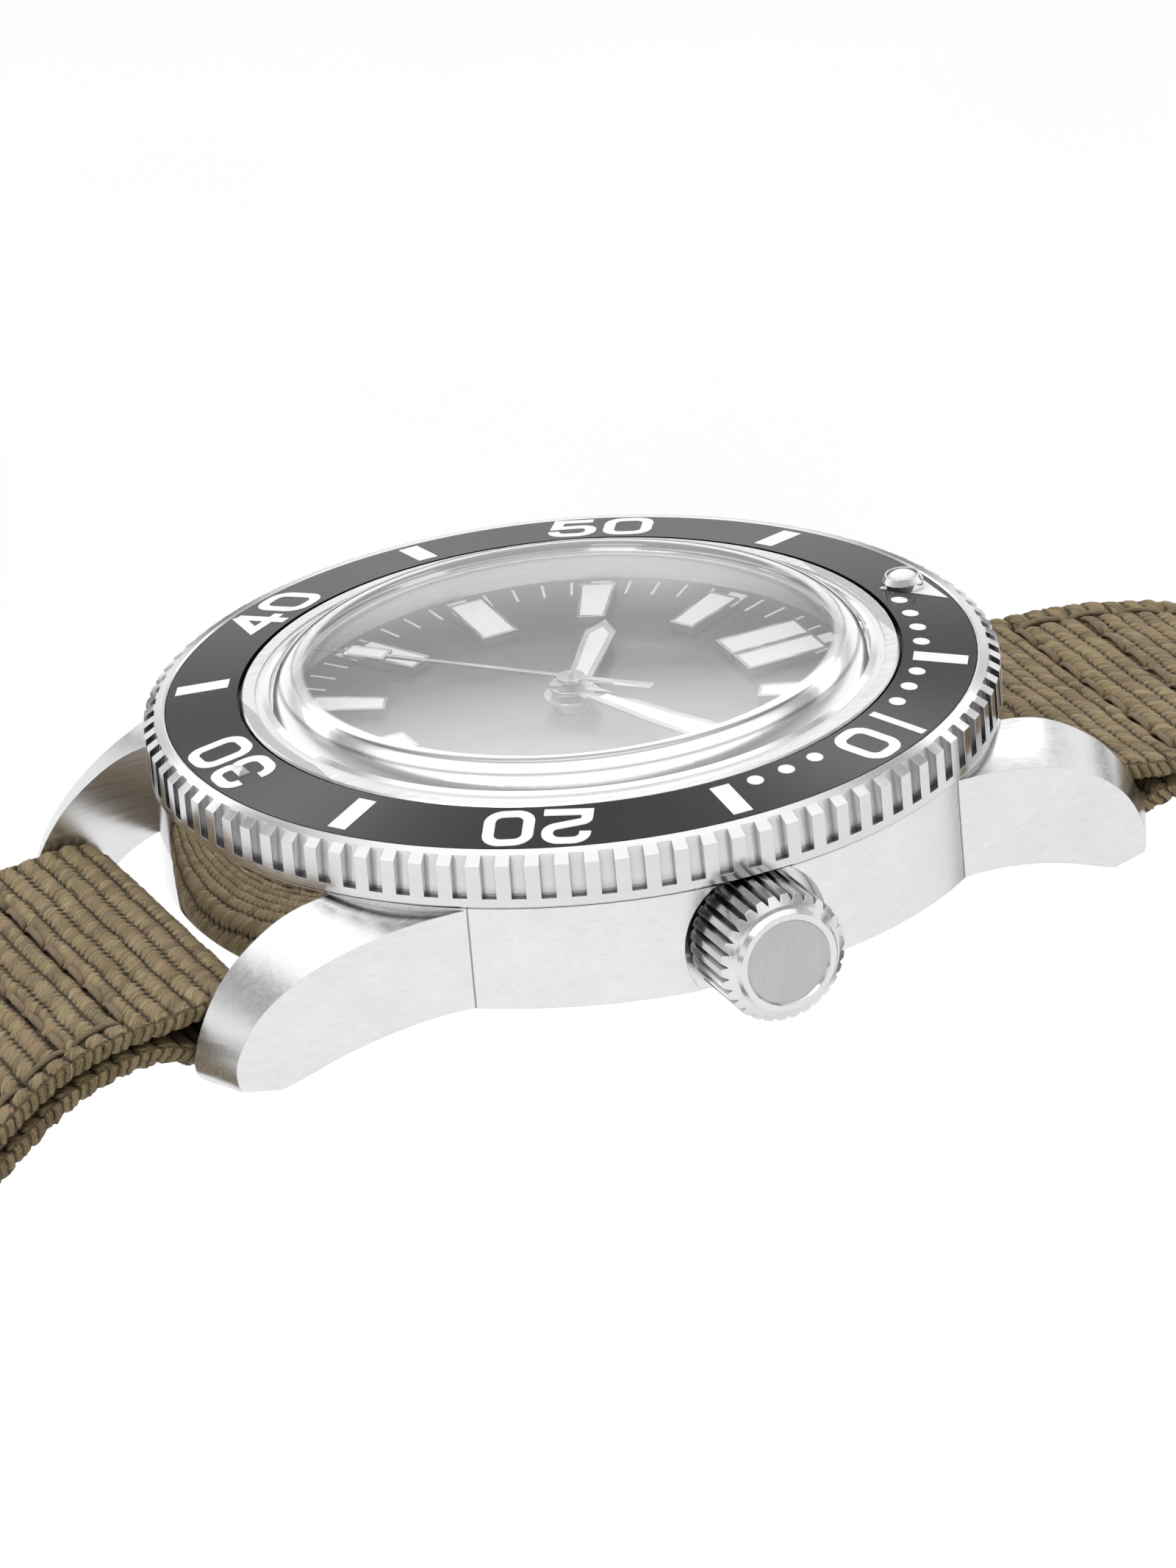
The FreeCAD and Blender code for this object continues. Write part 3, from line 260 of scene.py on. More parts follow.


def clear_crystal():
    """Sapphire, with mirror rings at its rim as painted glints that stand in for refraction. Lamps reach the
    dial through it.
    """
    s = Surface("clear_crystal", Metallic=0.0, Roughness=0.0, Base_Color=(1, 1, 1, 1), IOR=1.77,
                Transmission_Weight=1.0)
    haze = s.noise(s.place(), (1.3, 1.3, 1.3), 5.0, 0.7)
    s.feed(s.span(haze, 0.0, 0.012), "Roughness")
    radius = s.separate(s.round_place(1.0, 1.0, 1.0))[0]
    # Painted glints: mirror rings at the rim stand in for the crystal's refraction rings.
    s.feed(s.ramp(s.span(radius, 0.0, 1.0, CRYSTAL_R - RIM_WIDTH, CRYSTAL_R), RIM_GLINT_RINGS), "Metallic")
    shadow = s.add("LightPath").outputs["Is Shadow Ray"]
    mix = s.add("MixShader", {0: shadow, 1: s.shader.outputs[0], 2: s.add("BsdfTransparent").outputs[0]})
    s.links.new(mix.outputs[0], s.output.inputs["Surface"])
    return s.material


def sunburst_dial():
    """Grey lacquer over rays brushed out from the centre."""
    s = Surface("sunburst_dial", Metallic=0.75, Coat_Weight=0.3, Coat_Roughness=0.1)
    rays = s.noise(s.round_place(0.08, 55.0, 1.0), detail=5.0, roughness=0.75)
    broad = s.noise(s.round_place(0.02, 5.0, 1.0), detail=2.0)
    s.feed(s.shade(s.total((rays, 0.45), (broad, 0.55)), (0.085, 0.087, 0.09), (0.15, 0.152, 0.155)),
           "Base Color")
    s.feed(s.span(rays, 0.3, 0.46), "Roughness")
    s.bump(rays, 0.004, 0.6)
    return s.material


def rubber():
    s = Surface("black_rubber", Metallic=0.0)
    fine = s.noise(s.place(), (12, 12, 12), 4.0)
    s.feed(s.shade(fine, 0.012, 0.025), "Base Color")
    s.feed(s.span(fine, 0.55, 0.8), "Roughness")
    s.bump(fine, 0.01)
    return s.material


def white_nylon():
    s = Surface("white_nylon", Metallic=0.0, Coat_Weight=0.3, Coat_Roughness=0.1)
    cloud = s.noise(s.round_place(3.0, 3.0, 6.0))
    s.feed(s.shade(cloud, (0.72, 0.73, 0.74), (0.85, 0.86, 0.87)), "Base Color")
    s.feed(s.span(cloud, 0.2, 0.4), "Roughness")
    s.bump(cloud, 0.01, 0.5)
    return s.material


def striped_plate():
    """Nickel plate with the broad parallel stripes of a finished movement."""
    s = Surface("striped_nickel", Metallic=1.0)
    where = s.place()
    stripe = s.add("TexWave", {"Vector": where, "Scale": 0.11, "Distortion": 0.0}, wave_profile="SAW",
                   bands_direction="DIAGONAL").outputs["Fac"]
    fine = s.noise(where, (7, 7, 7), 5.0, 0.7)
    both = s.total((stripe, 0.75), (fine, 0.25))
    s.feed(s.ramp(both, [(0.1, (0.5, 0.49, 0.47)), (0.9, (0.68, 0.67, 0.65))]), "Base Color")
    s.feed(s.span(both, 0.2, 0.38, 0, 1), "Roughness")
    s.bump(both, 0.006, 0.5, 0.04)
    return s.material


def gilt_brass():
    """Gilt wheels, on arbors that are steel where they stand above the dial."""
    s = Surface("gilt_brass", Metallic=1.0)
    grain = s.noise(s.round_place(10.0, 3.0, 6.0))
    above = s.maths("GREATER_THAN", s.separate(s.place())[2], DIAL_Z)
    gilt = s.shade(grain, (0.72, 0.5, 0.2), (0.86, 0.63, 0.28))
    steel = s.shade(grain, (0.6, 0.6, 0.61), (0.75, 0.75, 0.76))
    s.feed(s.add("Mix", {0: above, 6: gilt, 7: steel}, data_type="RGBA").outputs[2], "Base Color")
    s.feed(s.span(grain, 0.18, 0.34), "Roughness")
    s.bump(grain, 0.003)
    return s.material


def ruby():
    s = Surface("synthetic_ruby", Metallic=0.0, IOR=1.76, Coat_Weight=0.6)
    cloud = s.noise(s.place(), (4, 4, 4))
    s.feed(s.shade(cloud, (0.35, 0.01, 0.05), (0.6, 0.03, 0.1)), "Base Color")
    s.feed(s.span(cloud, 0.05, 0.15), "Roughness")
    return s.material


def yarn(name, shades, fleck):
    """Nylon yarn in four shades from the gaps up, the lowest a painted shade in the gaps between yarns
    and where a seam pulls in, and the tone of its odd strands. The mesh's weave vector counts strands
    across and ribs along, and sunk is the share that a seam pulls in."""
    s = Surface(name, Metallic=0.0, Specular_IOR_Level=0.3, Sheen_Weight=0.06, Sheen_Roughness=0.45)
    weave_counts = s.add("Attribute", attribute_name="weave", attribute_type="GEOMETRY").outputs["Vector"]
    sunk = s.add("Attribute", attribute_name="sunk", attribute_type="GEOMETRY").outputs["Fac"]
    across, along, _ = s.separate(weave_counts)
    strand, rib = s.maths("FLOOR", across), s.maths("FLOOR", along)
    bead, crest = (s.maths("POWER", s.maths("SINE", s.maths("MULTIPLY", s.maths("FRACT", count), PI)), power)
                   for count, power in ((across, 0.6), (along, 0.7)))
    nick = s.maths("MULTIPLY", s.maths("SUBTRACT", 1.0, bead),
                   s.maths("SUBTRACT", 1.25, s.maths("MULTIPLY", crest, 0.95)))
    tint = s.add("TexWhiteNoise", {"Vector": s.combine(strand, rib, 0.0)},
                 noise_dimensions="3D").outputs["Value"]
    streak = s.combine(s.maths("MULTIPLY", across, 6.5), s.maths("MULTIPLY", along, 1.1),
                       s.maths("MULTIPLY", rib, 3.7))
    fibre = s.noise(streak, roughness=0.65)
    cloud = s.noise(s.place(), (0.3, 0.3, 0.3))
    colour = s.ramp(s.total((fibre, 0.75), (cloud, 0.15), (tint, 0.13)),
                    [(0.34, shades[1]), (0.49, shades[2]), (0.66, shades[3])])
    flecked = s.add("Mix", {0: s.span(tint, 0.0, 0.55, 0.86, 0.96), 6: colour, 7: (*fleck, 1)},
                    data_type="RGBA").outputs[2]
    # Painted shade: the colour falls to the darkest shade in the gaps between yarns and ribs, and where
    # seams pull in.
    height = s.maths("SUBTRACT", crest, s.maths("ADD", nick, s.maths("MULTIPLY", sunk, 0.45)))
    s.feed(s.add("Mix", {0: s.span(height, 0.0, 1.0, -0.25, 0.5), 6: (*shades[0], 1), 7: flecked},
                 data_type="RGBA").outputs[2], "Base Color")
    s.feed(s.span(fibre, 0.5, 0.75), "Roughness")
    s.bump(s.total((fibre, 0.6), (nick, -0.9)), 0.08, 0.9)
    return s.material


STEEL = (0.8, 0.8, 0.81)
MATERIALS = {
    # The case's crease line is painted shade.
    "case": grained_steel("case_steel", STEEL, 0.24, (5.0, 0.35, 5.0), mirror=(9.97, 14.0),
                          crease=(12.0, 0.035, 14.6)),
    "case_back": turned_steel("back_steel", STEEL, 0.25),
    "bezel": turned_steel("bezel_steel", (0.74, 0.74, 0.75), 0.13, crevice=0.5, least=0.25),
    # The crown's end face is darkened by painted shade.
    "crown": grained_steel("crown_steel", (0.78, 0.78, 0.79), 0.2, (5.0, 9.0, 0.7), disc=(4.5, 1.95, 0.66)),
    "buckle": grained_steel("buckle_steel", STEEL, 0.28, (0.6, 7.0, 7.0)),
    "spring": grained_steel("spring_steel", (0.6, 0.61, 0.63), 0.22, (0.5, 8.0, 8.0)),
    "polished": grained_steel("polished_steel", (0.86, 0.86, 0.87), 0.1, (3.0, 3.0, 3.0), 0.001),
    "rehaut": turned_steel("rehaut_steel", (0.72, 0.73, 0.74), 0.26),
    "insert": black_enamel(),
    "lume": lume_paint("lume_white", (0.94, 0.95, 0.93)),
    "print": lume_paint("white_print", (0.92, 0.93, 0.92)),
    "crystal": clear_crystal(),
    "dial": sunburst_dial(),
    "rubber": rubber(),
    "nylon": white_nylon(),
    "plate": striped_plate(),
    "tungsten": turned_steel("tungsten_alloy", (0.45, 0.45, 0.46), 0.35),
    "brass": gilt_brass(),
    "hard": turned_steel("hardened_steel", (0.6, 0.61, 0.63), 0.2),
    "ruby": ruby(),
    # Each yarn's first shade is painted shade for its gaps and seam dips.
    "webbing": yarn("webbing", ((0.02, 0.013, 0.006), (0.11, 0.077, 0.036), (0.22, 0.16, 0.08),
                                (0.4, 0.315, 0.17)), (0.25, 0.155, 0.09)),
    "thread": yarn("sewing_thread", ((0.04, 0.028, 0.016), (0.12, 0.087, 0.048),
                                     (0.18, 0.133, 0.075), (0.27, 0.21, 0.13)), (0.2, 0.13, 0.08)),
}

CAD_NODES = {
    "case": "case",
    "case_back": "case_back",
    "bezel": "bezel_ring",
    "crown": "crown",
    "buckle": "buckle_frame buckle_tang",
    "spring": "spring_bar_12 spring_bar_6 click_spring bezel_wire winding_stem mainspring hairspring "
              "buckle_bar",
    "polished": "crown_tube hour_markers pearl_rim seconds_hand minute_hand hour_hand",
    "rehaut": "rehaut_ring",
    "insert": "bezel_insert",
    "lume": "marker_lume bezel_pearl seconds_hand_lume minute_hand_lume hour_hand_lume",
    "crystal": "crystal",
    "dial": "dial",
    "rubber": "back_gasket crown_gasket",
    "nylon": "crystal_gasket",
    "plate": "mainplate movement_ring barrel_bridge train_bridge balance_cock pallet_bridge "
             "rotor_bearing rotor",
    "tungsten": "rotor_weight",
    "brass": "barrel second_wheel third_wheel fourth_wheel balance_wheel minute_wheel hour_wheel",
    "hard": "bridge_screws winding_pinion crown_wheel ratchet_wheel escape_wheel pallet_fork "
            "cannon_pinion",
    "ruby": "jewels",
    "webbing": "strap_12 strap_6 fixed_keeper sliding_keeper",
}


def dress_cad_nodes():
    for material, names in CAD_NODES.items():
        for name in names.split():
            for slot in NODES[name].material_slots:
                slot.material = MATERIALS[material]


# ---------- meshes ----------

def make_mesh(name, verts, faces, material, smooth=True):
    """An object from points in millimetres, and faces as a list or as an array of quads."""
    mesh = bpy.data.meshes.new(name)
    verts = np.asarray(verts, float) * MM
    if isinstance(faces, np.ndarray):
        count, sides = faces.shape
        mesh.vertices.add(len(verts))
        mesh.vertices.foreach_set("co", verts.astype(np.float32).ravel())
        mesh.loops.add(count * sides)
        mesh.loops.foreach_set("vertex_index", faces.astype(np.int32).ravel())
        mesh.polygons.add(count)
        mesh.polygons.foreach_set("loop_start", np.arange(0, count * sides, sides, dtype=np.int32))
    else:
        mesh.from_pydata(verts.tolist(), [], faces)
    mesh.update()
    mesh.validate()
    mesh.polygons.foreach_set("use_smooth", np.full(len(mesh.polygons), smooth))
    mesh.materials.append(MATERIALS[material])
    made = bpy.data.objects.new(name, mesh)
    bpy.context.scene.collection.objects.link(made)
    return made


def add_values(piece, name, values):
    attribute = piece.data.attributes.new(name, "FLOAT", "POINT")
    attribute.data.foreach_set("value", np.asarray(values, np.float32).ravel())


def add_vectors(piece, name, values):
    attribute = piece.data.attributes.new(name, "FLOAT_VECTOR", "POINT")
    attribute.data.foreach_set("vector", np.asarray(values, np.float32).ravel())


def rounded(points, radii, closed=False, steps=6):
    """A path through the points, with each corner rounded by its radius."""
    out = []
    count = len(points)
    for k, (p, r) in enumerate(zip(points, radii)):
        p = np.array(p, float)
        if r == 0 or (not closed and k in (0, count - 1)):
            out.append(p)
            continue
        a = np.array(points[k - 1], float) - p
        b = np.array(points[(k + 1) % count], float) - p
        a, b = a / np.linalg.norm(a), b / np.linalg.norm(b)
        half = math.acos(max(-1.0, min(1.0, float(a @ b)))) / 2
        back = r / math.tan(half)
        centre = p + (a + b) / np.linalg.norm(a + b) * r / math.sin(half)
        start, end = p + a * back - centre, p + b * back - centre
        turn = math.atan2(start[0] * end[1] - start[1] * end[0], float(start @ end))
        for i in range(steps + 1):
            t = turn * i / steps
            c, s = math.cos(t), math.sin(t)
            out.append(centre + np.array([start[0] * c - start[1] * s, start[0] * s + start[1] * c]))
    return out


class Slab:
    """Thin raised shapes drawn flat and laid on a surface by a mapping (u, v, height) to a point."""

    def __init__(self, low, top):
        self.low, self.top = low, top
        self.verts, self.faces = [], []

    def stroke(self, path, half, mapping, closed=False):
        path = [np.array(p, float) for p in path]
        count = len(path)
        rails = []
        for k, p in enumerate(path):
            before = path[k - 1] if (closed or k) else p
            after = path[(k + 1) % count] if (closed or k < count - 1) else p
            d1 = (p - before) if np.linalg.norm(p - before) > 1e-9 else (after - p)
            d2 = (after - p) if np.linalg.norm(after - p) > 1e-9 else (p - before)
            d1, d2 = d1 / np.linalg.norm(d1), d2 / np.linalg.norm(d2)
            n1, n2 = np.array([-d1[1], d1[0]]), np.array([-d2[1], d2[0]])
            mitre = (n1 + n2) / np.linalg.norm(n1 + n2)
            reach = half / max(0.3, float(mitre @ n1))
            rails.append((p + mitre * reach, p - mitre * reach))
        first = len(self.verts)
        for left, right in rails:
            for point, height in ((left, self.top), (right, self.top),
                                  (right, self.low), (left, self.low)):
                self.verts.append(mapping(point[0], point[1], height))
        last = count if closed else count - 1
        for k in range(last):
            a, b = first + 4 * k, first + 4 * ((k + 1) % count)
            for i in range(4):
                j = (i + 1) % 4
                self.faces.append((a + i, b + i, b + j, a + j))
        if not closed:
            self.faces.append((first, first + 1, first + 2, first + 3))
            end = first + 4 * (count - 1)
            self.faces.append((end + 3, end + 2, end + 1, end))

    def polygon(self, points, mapping):
        first, count = len(self.verts), len(points)
        for height in (self.top, self.low):
            self.verts += [mapping(p[0], p[1], height) for p in points]
        self.faces.append(tuple(range(first, first + count)))
        self.faces.append(tuple(range(first + 2 * count - 1, first + count - 1, -1)))
        for k in range(count):
            j = (k + 1) % count
            self.faces.append((first + k, first + count + k, first + count + j, first + j))

    def piece(self, name, material):
        made = make_mesh(name, self.verts, self.faces, material, False)
        work = bmesh.new()
        work.from_mesh(made.data)
        bmesh.ops.recalc_face_normals(work, faces=work.faces)
        work.to_mesh(made.data)
        work.free()
        return made


# ---------- marks on the bezel and the dial ----------

INSERT_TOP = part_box("bezel_insert")[1].z / MM
INSERT_IN = 15.15
INSERT_FALL = 0.46 / 3.38          # the cone's drop for each millimetre outwards
BEZEL_TURN = 0.8                   # degrees, as the pearl's
DIGIT_R = 16.8                     # middle of the numerals
DIGIT_STROKE = 0.26                # half widths of the strokes
ONE_STROKE = 0.225
ZERO_SHIFT = 1.25                  # sideways places of the digits
TENS_SHIFT = -1.34
TEN_SHIFTS = (-1.58, 0.86)         # closer together in 10
BAR = (0.474, 15.63, 18.085)       # half width, inner and outer ends
DOT_R, DOT_PLACE = 0.38, 15.98
DOT_MINUTES = (1, 2, 3, 4, 6, 7, 8, 12, 13, 14)
TRIANGLE = [(-2.1, 18.15), (2.1, 18.15), (0, 15.72)]
TICK = (0.06, 11.7, 12.95)         # the dial's minute and hour ticks
HOUR_TICK = (0.45, 12.25, 12.95)

H, W = 1.155, 0.88                 # half height and half width of a digit's middle line
DIGITS = {                         # each digit's strokes: points, corner radii, closed
    "0": [([(-W, -H), (-W, H), (W, H), (W, -H)], (0.62, 0.62, 0.62, 0.62), True)],
    "1": [([(0, -1.41), (0, 1.41)], (0, 0), False)],
    "2": [([(-0.84, 0.42), (-0.84, H), (0.84, H), (0.84, 0.1), (-0.84, -0.42), (-0.84, -H), (1.1, -H)],
           (0, 0.55, 0.6, 0.5, 0.3, 0, 0), False)],
    "3": [([(-0.84, 0.5), (-0.84, H), (0.82, H), (0.82, 0.07), (-0.32, 0.07)],
           (0, 0.55, 0.55, 0.35, 0), False),
          ([(-0.32, 0.07), (0.86, 0.07), (0.86, -H), (-0.88, -H), (-0.88, -0.42)],
           (0, 0.35, 0.6, 0.6, 0), False)],
    "4": [([(0.42, 1.41), (-0.95, -0.52), (1.1, -0.52)], (0, 0, 0), False),
          ([(0.42, 1.41), (0.42, -1.41)], (0, 0), False)],
    "5": [([(0.85, H), (-0.74, H), (-0.8, 0.1), (0.86, 0.22), (0.86, -H), (-0.86, -H), (-0.86, -0.45)],
           (0, 0, 0, 0.5, 0.6, 0.6, 0), False)],
}


def at_minute(minute, turn, surface):
    """Mapping for shapes drawn flat at a minute's place, v outwards from the watch's axis, onto a
    surface whose height follows the radius."""
    angle = math.radians(90 + turn - 6 * minute)
    out = np.array([math.cos(angle), math.sin(angle)])
    side = np.array([math.sin(angle), -math.cos(angle)])

    def mapping(u, v, height):
        x, y = out * v + side * u
        return (x, y, surface(math.hypot(x, y)) + height)
    return mapping


def on_insert(minute):
    return at_minute(minute, BEZEL_TURN, lambda r: INSERT_TOP - (r - INSERT_IN) * INSERT_FALL)


def upright(half, near, far):
    """A radial bar's outline, from its half width and its two ends."""
    return [(-half, near), (-half, far), (half, far), (half, near)]


def make_bezel_marks():
    marks = Slab(-0.02, 0.025)
    for tens in "12345":
        mapping = on_insert(10 * int(tens))
        shifts = TEN_SHIFTS if tens == "1" else (TENS_SHIFT, ZERO_SHIFT)
        for digit, shift in zip((tens, "0"), shifts):
            for points, radii, closed in DIGITS[digit]:
                path = [(p[0] + shift, p[1] + DIGIT_R) for p in rounded(points, radii, closed)]
                marks.stroke(path, ONE_STROKE if digit == "1" else DIGIT_STROKE, mapping, closed)
    for minute in range(5, 60, 10):
        marks.polygon(upright(*BAR), on_insert(minute))
    turns = [2 * PI * k / 32 for k in range(32)]
    dot = [(DOT_R * math.cos(t), DOT_PLACE + DOT_R * math.sin(t)) for t in turns]
    for minute in DOT_MINUTES:
        marks.polygon(dot, on_insert(minute))
    marks.polygon(TRIANGLE, on_insert(0))
    piece = marks.piece("bezel_marks", "print")
    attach(piece, "bezel")


def make_dial_print():
    ticks = Slab(-0.01, 0.02)
    for minute in range(60):
        shape = upright(*(TICK if minute % 5 else HOUR_TICK))
        ticks.polygon(shape, at_minute(minute, 0, lambda r: DIAL_Z))
    piece = ticks.piece("dial_print", "print")
    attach(piece, "case")


# ---------- webbing ----------

RIB = 1.0                          # pitch of the ribs along the webbing
STRAND = 0.5                       # pitch of the yarns across it
STEP = RIB / 7                     # from one station of a band to the next
ACROSS_STEPS = 3                   # points across a yarn
LEAN = 0.6                         # how far a yarn leans sideways for its length
RIB_DEPTH = 0.17
STRAND_DEPTH = 0.24
SIDE_SLANT = 0.3                   # how far the yarns lean along the strap as they pass its edge
COUNT_START = 400                  # keeps the counts of strands and ribs above zero
PLY = 1.0                          # thickness of one ply
PLY_MIDDLE = 0.6                   # its middle's distance from the strap's middle
EDGE = 0.42                        # how far in the ply's edge is rounded
EDGE_TURNS = 8
SELVEDGE = 1.6                     # width of the strap's turned edge
STRAP_HALF = 9.75
BAR_Y, BAR_Z = 21.3, 1.8           # the spring bars
LOOP_MIDDLE = 1.34                 # radius of the fold round a bar, at the ply's middle
LOOP_REACH = 4.2                   # how far from a bar the plies stand apart
# Each half's heading at its bar, then (length, turn in degrees) of its curved parts.
STRAP_12 = (3.0, ((3.0, 0), (11.5, -23), (24.0, -60), (30.0, 0)))
STRAP_6 = (8.0, ((2.2, 0), (8.0, -44), (40.0, -40), (50.0, -24), (13.0, 0)))

SEAM_X = 8.2                       # the seams along both edges
SEAM_DEPTH = 0.36
SEAM_WIDTH = 0.32
CROSS_6 = (4.7, 7.4)               # the seams across, from the spring bar
CROSS_12 = (4.75, 8.1)
STITCH = 2.5
STITCH_GAP = 0.06                  # share of the stitch at each end
STITCH_SUNK = 0.42                 # the ends' depth under the cloth, and the rise between them
STITCH_RISE = 0.34
STITCH_STEPS = 10
THREAD_R = 0.15
THREAD_WIDE, THREAD_TALL = 1.25, 0.8
THREAD_SIDES = 8

TIP_R = 11.75
TIP_SHORT = 0.35                   # the webbing's end, short of the strap's full length
TIP_HALF = 2.0                     # half width of the blunt end
TAPER = 0.9                        # width of the yarns that follow the tip's outline
SEAM_END_6 = 9                     # from the tip
HOLE_END = 16
HOLE_PITCH = 6.5
HOLES = 8
HOLE_R = 1.22
# An eyelet's rim, as (radius, height over the cloth).
EYELET = [(1.5, -0.3), (1.56, -0.06), (1.4, 0.1), (1.12, 0.12), (1.0, 0.02)]
EYELET_TURNS = 40

SLOT_BACK = 5.5                    # the slot for the tang, from the buckle's bar
SLOT_HALF = 1.75
TAB_OVERLAP = 0.4

KEEPER_WIDTH = 5.0
KEEPER_WALL = 1.0
KEEPER_GAP = 0.3                   # clearance at the sides and below
KEEPER_ROOM = 1.9                  # above, for the other half of the strap
KEEPER_CORNER = 1.0
KEEPER_WEAVE = (1.15, 1.2)         # finer than the strap, along and across
STRAP_RISE = 1.15                  # half of the strap's thickness


def scatter(a, b, seed):
    """A fixed pseudo-random share for each pair of whole numbers."""
    value = np.sin(a * 127.1 + b * 311.7 + seed * 74.7) * 43758.5453
    return value - np.floor(value)


def weave(t, w, edge):
    """Height of ribbed webbing at a place along and across it, and its counts of strands and ribs.
    edge is 1 at the selvedge, where the yarns turn back, and 0 inside it."""
    sway = 0.04 * np.sin(w * 0.9 + t * 0.31) + 0.03 * np.sin(w * 2.3 - t * 0.7)
    along = t / RIB + sway
    rib = np.floor(along)
    v = along - rib
    crest = np.sin(PI * v) ** 0.7
    lean = (LEAN + 0.9 * edge) * RIB / STRAND
    u = w / STRAND + lean * (v - 0.5) + 0.5 * (rib % 2) + 0.35 * scatter(rib, 0 * rib, 3) + COUNT_START
    strand = np.floor(u)
    bead = np.sin(PI * (u - strand)) ** 0.6
    swell = 0.05 * (scatter(strand, rib, 1) - 0.5) + 0.04 * (scatter(strand, rib, 2) - 0.5)
    height = RIB_DEPTH * (crest - 1) - STRAND_DEPTH * (1 - bead) * (1.0 - 0.72 * crest) + swell * crest
    return height, np.stack([u, along + COUNT_START, 0 * u], -1)


def chain_point(chain, s):
    """(y outward, z, heading) on a strap's middle line at a distance from the bar."""
    heading, pieces = chain
    y, z, a = BAR_Y, BAR_Z, math.radians(heading)
    for length, turn in pieces:
        part = min(s, length) if s > 0 else 0.0
        t = math.radians(turn) * part / length
        chord = part if abs(t) < 1e-9 else 2 * part / t * math.sin(t / 2)
        y += chord * math.cos(a + t / 2)
        z += chord * math.sin(a + t / 2)
        a += t
        s -= part
        if s <= 1e-9:
            break
    return y, z, a


def chain_length(chain):
    return sum(length for length, _ in chain[1])


def ease(x):
    x = min(1.0, max(0.0, x))
    return x * x * (3 - 2 * x)


def ply_offset(chain, s):
    """How far a ply's middle lies from the strap's middle: wider beside a bar."""
    swell = LOOP_MIDDLE - PLY_MIDDLE
    offset = PLY_MIDDLE + swell * (1 - ease(s / LOOP_REACH))
    if chain == STRAP_12:
        offset += swell * (1 - ease((chain_length(chain) - s) / LOOP_REACH))
    return offset


def ply_line(chain, side, places):
    """Stations (y, z) along the middle of the upper ply, side 1, or the lower one, side -1."""
    line = []
    for s in places:
        y, z, a = chain_point(chain, s)
        d = ply_offset(chain, s) * side
        line.append((y - d * math.sin(a), z + d * math.cos(a)))
    return line


def folded_line(chain, start, end, side):
    """Stations of a band folded round a bar: with side 1 back over the strap, round the spring bar at
    the start and out underneath, and with side -1 underneath, round the buckle's bar at the end and
    back over the strap."""
    count = int(round((end - start) / STEP))
    places = [start + (end - start) * k / count for k in range(count + 1)]
    first, last = (places[::-1], places) if side == 1 else (places, places[::-1])
    y, z, a = chain_point(chain, start if side == 1 else end)
    turns = int(PI * LOOP_MIDDLE / STEP)
    fold = []
    for k in range(1, turns):
        t = PI * k / turns
        out, up = -math.sin(t) * side, math.cos(t) * side
        fold.append((y + LOOP_MIDDLE * (out * math.cos(a) - up * math.sin(a)),
                     z + LOOP_MIDDLE * (out * math.sin(a) + up * math.cos(a))))
    return np.array(ply_line(chain, side, first) + fold + ply_line(chain, -side, last))


def distances(line):
    """Each station's distance along its line."""
    return np.concatenate([[0], np.cumsum(np.linalg.norm(np.diff(line, axis=0), axis=1))])


def normals(line, closed):
    """The line's unit normals, on the right of its direction."""
    after, before = np.roll(line, -1, 0), np.roll(line, 1, 0)
    if not closed:
        after[-1], before[0] = line[-1], line[0]
    tangent = after - before
    tangent /= np.linalg.norm(tangent, axis=1)[:, None]
    return np.stack([tangent[:, 1], -tangent[:, 0]], 1)


def section(x0, x1):
    """A ply's cross-section, a flat loop: its x, height, outward x and outward height as four rows."""
    flat = x1 - x0 - 2 * EDGE
    n = int(round(flat / STRAND * ACROSS_STEPS))
    left, right = x0 + EDGE, x1 - EDGE
    points = []
    for side, near, far in ((1, left, right), (-1, right, left)):
        points += [(near + side * flat * k / n, side * PLY / 2, 0, side) for k in range(n + 1)]
        for k in range(1, EDGE_TURNS):
            a = side * PI / 2 - PI * k / EDGE_TURNS
            points.append((far + EDGE * math.cos(a), PLY / 2 * math.sin(a), math.cos(a), math.sin(a)))
    return np.array(points).T[:, None, :]


def tube_faces(rows, cols, closed):
    """Quads of a tube of rings, each a row of cols points."""
    i, j = np.divmod(np.arange((rows if closed else rows - 1) * cols), cols)
    here, ahead, beside = i * cols, (i + 1) % rows * cols, (j + 1) % cols
    return np.stack([here + j, here + beside, ahead + beside, ahead + j], 1)


def seam_dip(x, t, seams):
    """How deep the webbing is pulled in by seams: each is (kind, place, start, end)."""
    dip = np.zeros_like(x)
    for kind, place, start, end in seams:
        across, along = (t, x) if kind == "cross" else (x, t)
        inside = np.clip((along - start) / 0.5 + 1, 0, 1) * np.clip((end - along) / 0.5 + 1, 0, 1)
        pinch = 0.75 + 0.25 * np.cos(2 * PI * (along - start) / STITCH)
        dip = np.maximum(dip, inside * pinch * np.exp(-((across - place) / SEAM_WIDTH) ** 2))
    return dip


